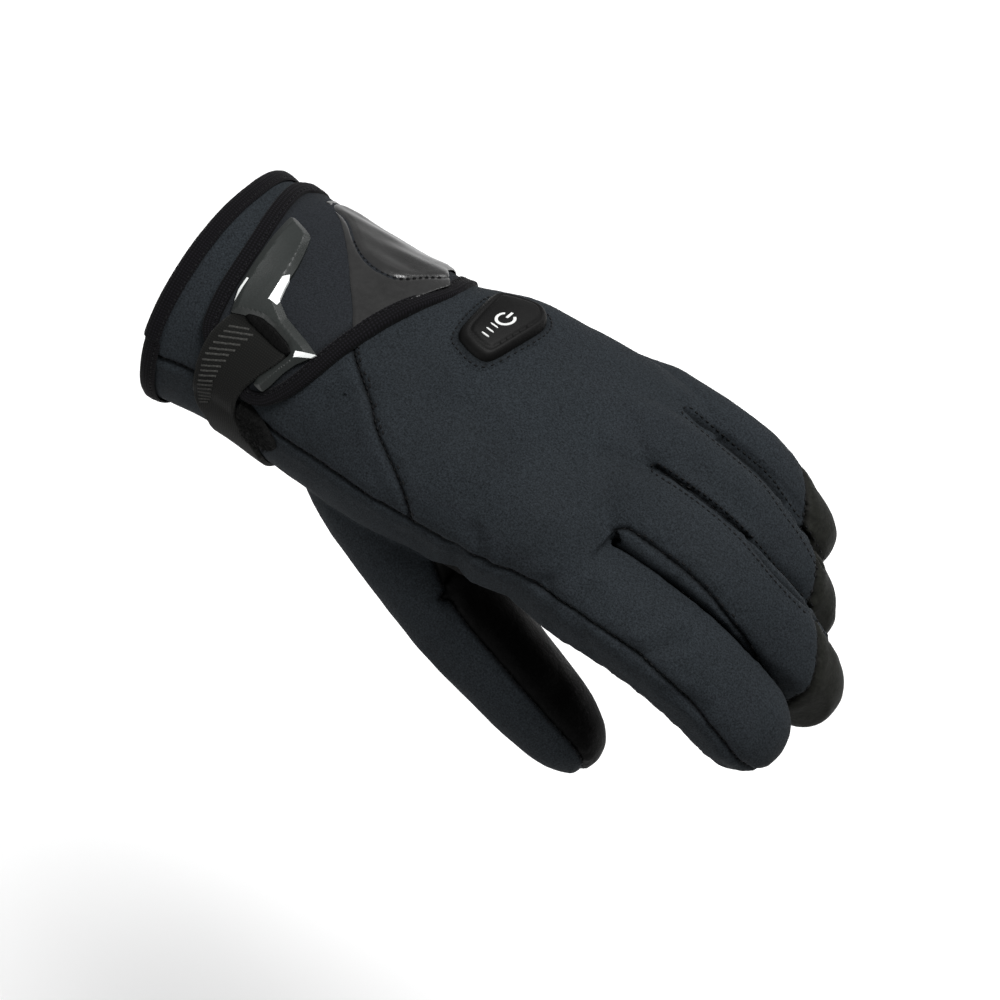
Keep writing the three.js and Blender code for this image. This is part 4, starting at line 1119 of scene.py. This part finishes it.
# The bound edge of the cuff
CUFF_STEPS = 420
CUFF_PROFILE = [
    (6.2, 0.2), (6.0, 0.75), (5.4, 0.95), (4.9, 0.7), (4.4, 0.95), (3.2, 1.2), (1.6, 1.1), (0.5, 0.5), (-0.3, -0.7),
    (-0.3, -2.8), (0.5, -3.9), (1.6, -4.4), (4.0, -4.3), (6.0, -3.6),
]
STEP_TURN = 148.0
turn = np.arange(CUFF_STEPS) / CUFF_STEPS * 360
edge_x = smooth(CUFF_EDGE, "turn", "x", turn)
thicker = 0.7 * np.clip((STEP_TURN - turn) / 1.2, 0, 1) * np.clip((turn - 60) / 40, 0, 1)
rings, ring_uv = [], []
edge_steps = np.diff(on_body(edge_x, np.radians(turn)), axis=0, prepend=on_body(edge_x[-1:], np.radians(turn[-1:])))
arc = np.cumsum(np.linalg.norm(edge_steps, axis=1))
for k, (x, h) in enumerate(CUFF_PROFILE):
    at = np.maximum(edge_x + x - thicker, -CUFF_LENGTH)
    ring = on_body(at, np.radians(turn), h + (thicker if h > -1 else 0) + 0.45)
    ring[:, 0] += np.minimum(0, edge_x + x - thicker + CUFF_LENGTH)
    rings.append(ring)
    ring_uv.append(np.stack([arc, np.full(CUFF_STEPS, 1.6 * k)], 1))
cuff_verts, cuff_faces = loft(rings)
cuff_faces = np.array([f for f in cuff_faces if len(f) == 4])
wave = grain(cuff_verts, 5.0, 5)
cuff_verts = cuff_verts + np.array([0, 0, 1]) * 0.1 * wave[:, None]
cuff_tris = np.concatenate([cuff_faces[:, [0, 1, 2]], cuff_faces[:, [0, 2, 3]]])
if (normals_of(cuff_verts, cuff_tris)[:CUFF_STEPS] * (rings[3] - rings[10])).sum() < 0:
    cuff_tris = cuff_tris[:, ::-1]
add_piece("cuff_edging", cuff_verts, cuff_tris, EDGING, "edging", uv=np.concatenate(ring_uv), covers=["cuff_binding"])
row = np.arange(0, 360, 2.9)
row_x = smooth(CUFF_EDGE, "turn", "x", row) + 4.9
row_h = 1.15 + np.interp(row, turn, thicker)
row_p = on_body(np.maximum(row_x, -CUFF_LENGTH), np.radians(row), row_h)
row_n = on_body(row_x, np.radians(row), row_h + 5) - row_p
cuff_row = stitches([(row_p, row_n / np.linalg.norm(row_n, axis=1, keepdims=True))])
add_piece("cuff_stitching", *cuff_row, THREAD, "edging")

# The flap over the back of the wrist
FLAP_THICK = 2.0
FLAP_LOW = 0.5
FLAP_TOP = FLAP_LOW + FLAP_THICK
BINDING = 6.0
PITCH = 0.7
flap_outer = on_photo([(291, 183), (270, 205), (245, 245), (215, 290), (196, 338)], FLAP_TOP)
flap_end = on_photo([(236, 388), (240, 399), (254, 407), (272, 407)], FLAP_TOP)
flap_inner = on_photo([(302, 390), (354, 345), (410, 312), (460, 292)], FLAP_TOP)
flap_far = turned([(47, 30), (45, 10), (43, -14), (41, -20), (-17, -20), (-19, -14), (-20, 10), (-20, 30)])
flap_outline = curve(np.concatenate([flap_outer, flap_end, flap_inner, flap_far]), 1.2, closed=True, rounds=3)


def flap_top(near, arc, flat):
    spread = np.clip(near / 14, 0, 1)
    return FLAP_THICK * rise(near, 1.0) + 0.25 * spread + 0.12 * grain(np.c_[flat, flat[:, :1] * 0], 14.0, 6)


def binding_top(near, arc, flat):
    tape = 1.05 * rise(near, 1.6) * rise(BINDING - near, 0.9)
    groove = 0.4 * dip(near - 4.6, 0.45)
    return FLAP_THICK * rise(near, 0.8) + tape - groove * rise(BINDING - near, 0.9)


def flap_low(flat):
    """The flap lies lower towards the little finger's side of its front edge."""
    ease = np.clip((flat[:, 0] - 30) / 14, 0, 1) * np.clip((76 - flat[:, 1] * DEGREES_PER_MM) / 24, 0, 1)
    return FLAP_LOW - 1.9 * ease


flap_parts = plate(flap_outline, flap_low, flap_top, PITCH)
near = flap_parts[3][:, 1]
# Painted shade on the flap along the inner edge of its raised binding
shade = 1 - 0.35 * dip(near - BINDING, 1.2)
flap = add_piece("closure_flap_cloth", flap_parts[0], flap_parts[1], FLAP_CLOTH, "flap_cloth", uv=flap_parts[2], tone_and_painted_light=shade,
                 sharp=50, covers=["closure_flap"])
binding_parts = plate(flap_outline, flap_low, binding_top, PITCH * 0.75, border=BINDING)
add_piece("flap_edging", binding_parts[0], binding_parts[1], EDGING, "edging", uv=binding_parts[3], sharp=60,
          covers=["flap_binding"])


def drawn_in(outline, distance, pitch):
    """A closed unrolled line at a distance inside an outline."""
    grid, tris = flat_grid(outline, 1.0)
    near = inside(grid, outline)[0] - distance
    cut, cut_tris = cut_mesh(grid, tris, near)
    side = (inside(cut, outline)[0] - distance)[cut_tris].mean(1) > 0
    rim = rim_of(cut_tris[side])
    chain = chains_of(rim)[0]
    return curve(cut[chain[:-1]], pitch, closed=True, rounds=1)


flap_row = flat_row(drawn_in(flap_outline, 4.6, 2.5), lambda line: flap_low(line) + FLAP_THICK + 0.7, 2.5)
add_piece("flap_stitching", *stitches([flap_row]), THREAD, "edging")

# The glossy film on the flap, with its embossed curve
FILM_LOW = FLAP_TOP + 0.1
film_left = on_photo([(331, 205), (345, 240), (350, 285), (353, 330)], FILM_LOW)
film_end = on_photo([(400, 306), (450, 286)], FILM_LOW)
film_far = turned([(38, 36), (36, 10), (35, -14), (-10, -14), (-10, 10), (-9, 38)])
film_outline = np.concatenate([film_left, film_end, film_far])
FILM_CURVE = [(330, 204), (347, 218), (355, 244), (368, 263), (386, 274), (402, 279), (429, 276), (447, 277)]
curve_line = on_photo(FILM_CURVE, FILM_LOW + 0.6)
curve_line = np.concatenate([turned([(-8, 20)]), curve_line, turned([(42, 40), (38, 24)])])
curve_line = curve(curve_line, 0.8, rounds=2)


def film_top(near, arc, flat):
    crossing = distance_to(flat, curve_line)
    beyond = np.clip(-side_of(flat) * crossing / 3.0, 0, 1)
    wrinkle = grain(np.c_[flat, flat[:, :1] * 0] * (0.5, 1, 1), 7.0, 7)
    lift = 0.12 * rise(near, 0.6) - 0.5 * dip(crossing, 0.7) + beyond * (0.5 + 0.35 * wrinkle) * rise(near, 4.0)
    return lift + 0.25


def side_of(flat):
    """Which side of the embossed curve unrolled places are on: negative beyond it."""
    ahead = np.gradient(curve_line, axis=0)
    tree = KDTree(len(curve_line))
    for i, p in enumerate(curve_line):
        tree.insert((p[0], p[1], 0), i)
    tree.balance()
    nearest = np.array([tree.find((p[0], p[1], 0))[1] for p in flat])
    rel = flat - curve_line[nearest]
    return np.sign(rel[:, 1] * ahead[nearest, 0] - rel[:, 0] * ahead[nearest, 1])


film_parts = plate(film_outline, FILM_LOW, film_top, PITCH)
add_piece("film_cover", film_parts[0], film_parts[1], FILM, "gloss_film", uv=film_parts[2], sharp=55, covers=["film_panel"])
film_row = curve_line[inside(curve_line, film_outline)[0] > 3.2]
add_piece("film_stitching", *stitches([flat_row(film_row, FILM_LOW + 0.25, 2.2)], radius=0.3), THREAD, "gloss_film")

# The moulded anchor, with bevelled arms and painted highlights on the bevels where the light catches them
ANCHOR_LOW = FLAP_TOP + 0.6
ANCHOR_THICK = 3.0
anchor_pixels = [
    (289, 215), (296, 216), (310, 232), (311, 238), (300, 262), (287, 282), (276.5, 305), (317, 354), (312, 357),
    (289, 367), (263, 392.5), (258, 391), (250, 382), (277.6, 364), (292, 352), (266, 322), (246, 315), (224.8, 311),
]
anchor_outline = curve(on_photo(anchor_pixels, ANCHOR_LOW + ANCHOR_THICK - 0.8), 0.5, closed=True, rounds=1)
BEVEL = 2.3


def anchor_top(near, arc, flat):
    return ANCHOR_THICK - 1.5 + 1.5 * np.clip(near / BEVEL, 0, 1)


# Zones of the anchor's bevels that get the painted highlight
bevel_highlight_zone = on_photo([(290, 274), (283, 277), (269, 299), (277, 305), (288, 288)], ANCHOR_LOW + 2.2)
corner_highlight_zone = on_photo([(296, 351), (317, 355), (314, 358), (294, 357)], ANCHOR_LOW + 2.2)
edge_highlight_zone = on_photo([(247, 277), (249, 279), (227, 312), (223, 311)], ANCHOR_LOW + 2.0)
highlight_zones = (bevel_highlight_zone, corner_highlight_zone, edge_highlight_zone)
anchor_parts = plate(anchor_outline, ANCHOR_LOW, anchor_top, 0.45, cuts=highlight_zones)
middles = anchor_parts[2][anchor_parts[1]].mean(1)
painted_highlight_faces = np.zeros(len(middles), bool)
for zone in highlight_zones:
    painted_highlight_faces |= inside(middles, zone)[0] > 0
# Painted shade on the anchor's bevels, with its top face lighter
shade = 0.92 + 0.16 * np.clip(anchor_parts[3][:, 1] / BEVEL, 0, 1)
anchor_piece = add_piece("strap_anchor_body", anchor_parts[0], anchor_parts[1], PLASTIC, "moulded_plastic",
                         uv=anchor_parts[2], tone_and_painted_light=shade, sharp=14, covers=["strap_anchor"])
anchor_piece.data.materials.append(PAINTED_HIGHLIGHT)
anchor_piece.data.polygons.foreach_set("material_index", painted_highlight_faces.astype(np.int32))

# The strap, from under the anchor round the thumb's side to the palm
STRAP_PROFILE = rows_of("turn low", [(100, 2.7), (116, 2.8), (124, 3.7), (146, 3.7), (154, 2.6), (164, 0.6), (240, 0.6)])


def strap_low(flat):
    return smooth(STRAP_PROFILE, "turn", "low", flat[:, 1] * DEGREES_PER_MM)


def strap_top(near, arc, flat):
    return 1.5 * rise(near, 0.9) + 0.12 * grain(np.c_[flat, flat[:, :1] * 0], 10.0, 8)


strap_left = on_photo([(240, 304), (225, 316), (209, 332), (199.5, 349), (193, 372)], 5.0)
strap_low_left = on_photo([(191, 389), (192.6, 402)], 2.6)
strap_right = on_photo([(291, 350), (278, 364), (263, 374), (249, 384), (240, 392)], 5.0)
strap_low_right = on_photo([(235, 404), (233, 418), (241, 432)], 2.6)
strap_far = turned([(-2, 182), (-1, 200), (-1, 240), (23, 240), (23, 200), (22.5, 184)])
strap_outline = np.concatenate([
    strap_left, strap_low_left, strap_far, strap_low_right[::-1], strap_right[::-1], on_photo([(270, 318)], 4.0)])
strap_outline = curve(strap_outline, 1.0, closed=True, rounds=1)
strap_parts = plate(strap_outline, strap_low, strap_top, PITCH)
# The strap is lighter along its edges, and painted shade darkens it where it runs under the anchor
under = np.clip((118 - strap_parts[2][:, 1] * DEGREES_PER_MM) / 4, 0, 1)
shade = (1.0 + 0.9 * dip(strap_parts[3][:, 1], 0.9)) * (1 - 0.75 * under)
add_piece("closure_strap_webbing", strap_parts[0], strap_parts[1], WEBBING, "webbing", uv=strap_parts[2], tone_and_painted_light=shade, sharp=50,
          covers=["closure_strap"])

# A near-black sheet in the anchor's slot that the strap comes out of: painted shadow filling the opening
SLOT_SHADOW_PIXELS = [(243, 316), (250, 312), (267, 319), (293, 349), (288, 356), (277, 350), (262, 335)]
slot_shadow_outline = curve(on_photo(SLOT_SHADOW_PIXELS, 5.6), 0.6, closed=True, rounds=1)
slot_shadow_parts = plate(slot_shadow_outline, 4.6, lambda near, arc, flat: 0.9 * rise(near, 1.0), 0.5)
add_piece("anchor_slot_painted_shadow", slot_shadow_parts[0], slot_shadow_parts[1], LEATHER_AND_SLOT_SHADOW, "moulded_plastic", uv=slot_shadow_parts[2])

# The lighter woven bars of the strap: the photo's row, and where each bar starts and ends
STRAP_BARS = [
    (326, 229, 249), (331, 224, 253), (336, 219, 248), (342, 214, 241), (348, 210, 236), (353, 206, 230),
    (359, 203, 227), (365, 202, 222), (370, 201, 219), (375, 199, 217), (380, 198, 214), (384, 197, 214),
    (388, 197, 213), (392, 197, 212), (396, 198, 212), (399, 198, 210), (402, 199, 208),
]
bars = []
for y, start, end in STRAP_BARS:
    lean = 0.16 * (402 - y) / 76
    line = [(x, y + lean * (x - start)) for x in (start, (start + end) / 2, end)]
    height = 4.9 - 2.6 * np.clip((y - 376) / 24, 0, 1)
    line = curve(on_photo(line, height), 0.9, rounds=0)
    ahead = np.gradient(line, axis=0)
    ahead /= np.linalg.norm(ahead, axis=1, keepdims=True)
    side = np.stack([-ahead[:, 1], ahead[:, 0]], 1)
    low = strap_low(line) + 1.35
    rings = []
    for across, up in ((-0.5, 0.0), (-0.32, 0.3), (0.0, 0.4), (0.32, 0.3), (0.5, 0.0)):
        rings.append(place(line + side * across, low + up))
    count = len(line)
    quads = [(r * count + k, r * count + k + 1, (r + 1) * count + k + 1, (r + 1) * count + k)
             for r in range(4) for k in range(count - 1)]
    verts = np.concatenate(rings)
    quads = np.array(quads)
    tris = np.concatenate([quads[:, [0, 1, 2]], quads[:, [0, 2, 3]]])
    if (normals_of(verts, tris) @ -FORWARD).sum() < 0:
        tris = tris[:, ::-1]
    bars.append((verts, tris))
bar_verts, bar_faces = joined(bars)
add_piece("strap_bars", bar_verts, np.array(bar_faces), BARS, "webbing")

# The fuzzy tab beside the strap
tab_outline = on_photo([(241, 400), (253, 413), (267, 433), (276, 453), (261, 452), (244, 441), (236, 424), (234, 410)], 2.2)
tab_outline = curve(tab_outline, 0.8, closed=True, rounds=2)


def tab_top(near, arc, flat):
    return 1.9 * rise(near, 1.4) + 0.35 * grain(np.c_[flat, flat[:, :1] * 0], 1.6, 9)


tab_parts = plate(tab_outline, 0.4, tab_top, 0.45)
add_piece("hook_tab_pile", tab_parts[0], tab_parts[1], FUZZ, "webbing", uv=tab_parts[2], covers=["hook_tab"])
rng = np.random.default_rng(11)
HAIRS = 700
tops = np.flatnonzero(tab_parts[3][:, 1] > 0.15)
roots = tab_parts[0][rng.choice(tops, HAIRS)]
outward = roots - on_body(roots[:, 0], math.radians(165), -20)
outward /= np.linalg.norm(outward, axis=1, keepdims=True)
lean = outward + rng.normal(0, 0.7, (HAIRS, 3))
lean /= np.linalg.norm(lean, axis=1, keepdims=True)
wide = np.cross(lean, rng.normal(0, 1, (HAIRS, 3)))
wide /= np.linalg.norm(wide, axis=1, keepdims=True)
tips = roots + lean * rng.uniform(0.8, 1.8, (HAIRS, 1))
hair_verts = np.stack([roots - wide * 0.09, roots + wide * 0.09, tips], 1).reshape(-1, 3)
add_piece("hook_tab_hairs", hair_verts, np.arange(3 * HAIRS).reshape(-1, 3), FUZZ, "webbing")

# The rubber button with its raised edge and the marks on it
BUTTON_LOW = 0.2
BUTTON_TOP = 3.6
button_pixels = [
    (455.5, 333), (466, 347), (478, 357), (486, 360), (496, 358), (522, 342), (544, 329), (549, 320), (546, 311),
    (538, 305), (513, 297), (498, 294), (490, 296), (484, 302), (470, 316),
]
button_outline = curve(on_photo(button_pixels, 2.0), 0.7, closed=True, rounds=2)


def button_top(near, arc, flat):
    dome = 0.55 * np.clip((near - 2.6) / 6, 0, 1) ** 0.6
    return (BUTTON_TOP - BUTTON_LOW) * rise(near, 2.4) - 0.45 * dip(near - 2.9, 0.45) + dome


button_parts = plate(button_outline, BUTTON_LOW, button_top, 0.5)
near = button_parts[3][:, 1]
# Painted shade in the groove inside the button's raised edge, and a painted highlight along that edge
add_piece("button_body", button_parts[0], button_parts[1], RUBBER, "button_rubber", uv=button_parts[2],
          tone_and_painted_light=1 - 0.4 * dip(near - 2.9, 0.5) + 0.5 * dip(near - 1.6, 0.5), sharp=60, covers=["button_base", "button_cap"])


def seat(near, arc, flat):
    return 0.9 * rise(near, 1.5)


centre = button_outline.mean(0)
wider = centre + (button_outline - centre) * (1 + 3.0 / np.linalg.norm(button_outline - centre, axis=1, keepdims=True))
seat_parts = plate(curve(wider, 1.0, closed=True, rounds=1), -0.3, seat, 0.7)
# Painted shade on the surround round the button's foot
add_piece("button_surround", seat_parts[0], seat_parts[1], SOFTSHELL, "softshell", uv=seat_parts[2],
          tone_and_painted_light=1 - 0.5 * dip(seat_parts[3][:, 1] - 3.0, 1.2))
outer_row = centre + (button_outline - centre) * (1 + 1.7 / np.linalg.norm(button_outline - centre, axis=1, keepdims=True))
button_row = flat_row(curve(outer_row, 2.3, closed=True, rounds=0), 0.65, 2.3)
add_piece("button_stitching", *stitches([button_row], radius=0.28), THREAD, "softshell")

MARK_LOW = BUTTON_TOP + 0.42
MARK_HIGH = 0.2


def mark_piece(name, pixels, nodes, rounds=1):
    outline = curve(on_photo(pixels, MARK_LOW), 0.12, closed=True, rounds=rounds)
    parts = plate(outline, MARK_LOW - 0.2, lambda near, arc, flat: np.full(len(near), 0.2 + MARK_HIGH), 0.22)
    add_piece(name, parts[0], parts[1], PRINT, "button_print", uv=parts[2], sharp=40, covers=nodes)


BAR_AT = [(485.3, 335.7), (489.9, 331.3), (494.2, 326.8)]
for i, (x, y) in enumerate(BAR_AT):
    bar_corners = [(x - 3.9, y - 3.2), (x - 2.9, y - 4.2), (x + 4.2, y + 0.9), (x + 3.2, y + 1.9)]
    mark_piece(f"level_mark_{i + 1}", bar_corners, [f"level_bar_{i + 1}"])
sign = on_photo([(505.5, 319.0)], MARK_LOW)[0]
SIGN_RADIUS = 3.0
SIGN_INNER = 2.15
SIGN_OPEN = 38
sweep = np.radians(np.linspace(SIGN_OPEN, 360 - SIGN_OPEN, 40))
across = np.stack([-np.sin(sweep), -np.cos(sweep)], 1)
ring_outline = np.concatenate([sign + across * SIGN_RADIUS, (sign + across * SIGN_INNER)[::-1]])
bar_outline = sign + np.array([(-0.42, -0.5), (0.42, -0.5), (0.42, -3.4), (-0.42, -3.4)])
for name, outline, nodes in (("power_mark_ring", ring_outline, ["power_ring"]), ("power_mark_bar", bar_outline, ["power_bar"])):
    parts = plate(outline, MARK_LOW - 0.2, lambda near, arc, flat: np.full(len(near), 0.2 + MARK_HIGH), 0.2)
    add_piece(name, parts[0], parts[1], PRINT, "button_print", uv=parts[2], sharp=40, covers=nodes)

# Camera
camera = bpy.data.objects.new("camera", bpy.data.cameras.new("camera"))
camera.location = Vector(CAMERA_AT) * MM
camera.rotation_euler = Vector(LOOK_AT - CAMERA_AT).to_track_quat("-Z", "Y").to_euler()
camera.data.sensor_width = SENSOR
camera.data.lens = LENS
bpy.context.scene.collection.objects.link(camera)
bpy.context.scene.camera = camera

# Floor and light
FLOOR_Z = -420
FLOOR_HALF = 4000
studio_floor, _, _ = new_material("studio_floor", (0.93, 0.93, 0.93), 0.9, 0.2)
corners = [(-1, -1), (1, -1), (1, 1), (-1, 1)]
floor = new_object("floor", [(x * FLOOR_HALF, y * FLOOR_HALF, FLOOR_Z) for x, y in corners], [(0, 1, 2, 3)])
floor.data.materials.append(studio_floor)
world = bpy.data.worlds.new("studio")
bpy.context.scene.world = world
world.use_nodes = True
world.node_tree.nodes["Background"].inputs["Color"].default_value = (1, 1, 1, 1)
world.node_tree.nodes["Background"].inputs["Strength"].default_value = 0.42
bpy.context.scene.view_settings.view_transform = "Standard"

# Soft boxes: place and aim in metres, size, and power in watts
SOFT_BOXES = [
    ("key_light", (0.35, 0.55, 1.6), (0.08, 0, 0), 0.8, 44),
    ("rim_light", (0.1, 1.5, 0.6), (0.1, 0, 0), 0.5, 5),
    ("side_light", (-0.4, -1.4, 0.3), (0.05, 0, 0), 0.5, 4),
]
for name, at, aim, size, power in SOFT_BOXES:
    light = bpy.data.objects.new(name, bpy.data.lights.new(name, "AREA"))
    light.data.size = size
    light.data.energy = power
    light.location = at
    light.rotation_euler = (Vector(aim) - Vector(at)).to_track_quat("-Z", "Y").to_euler()
    bpy.context.scene.collection.objects.link(light)
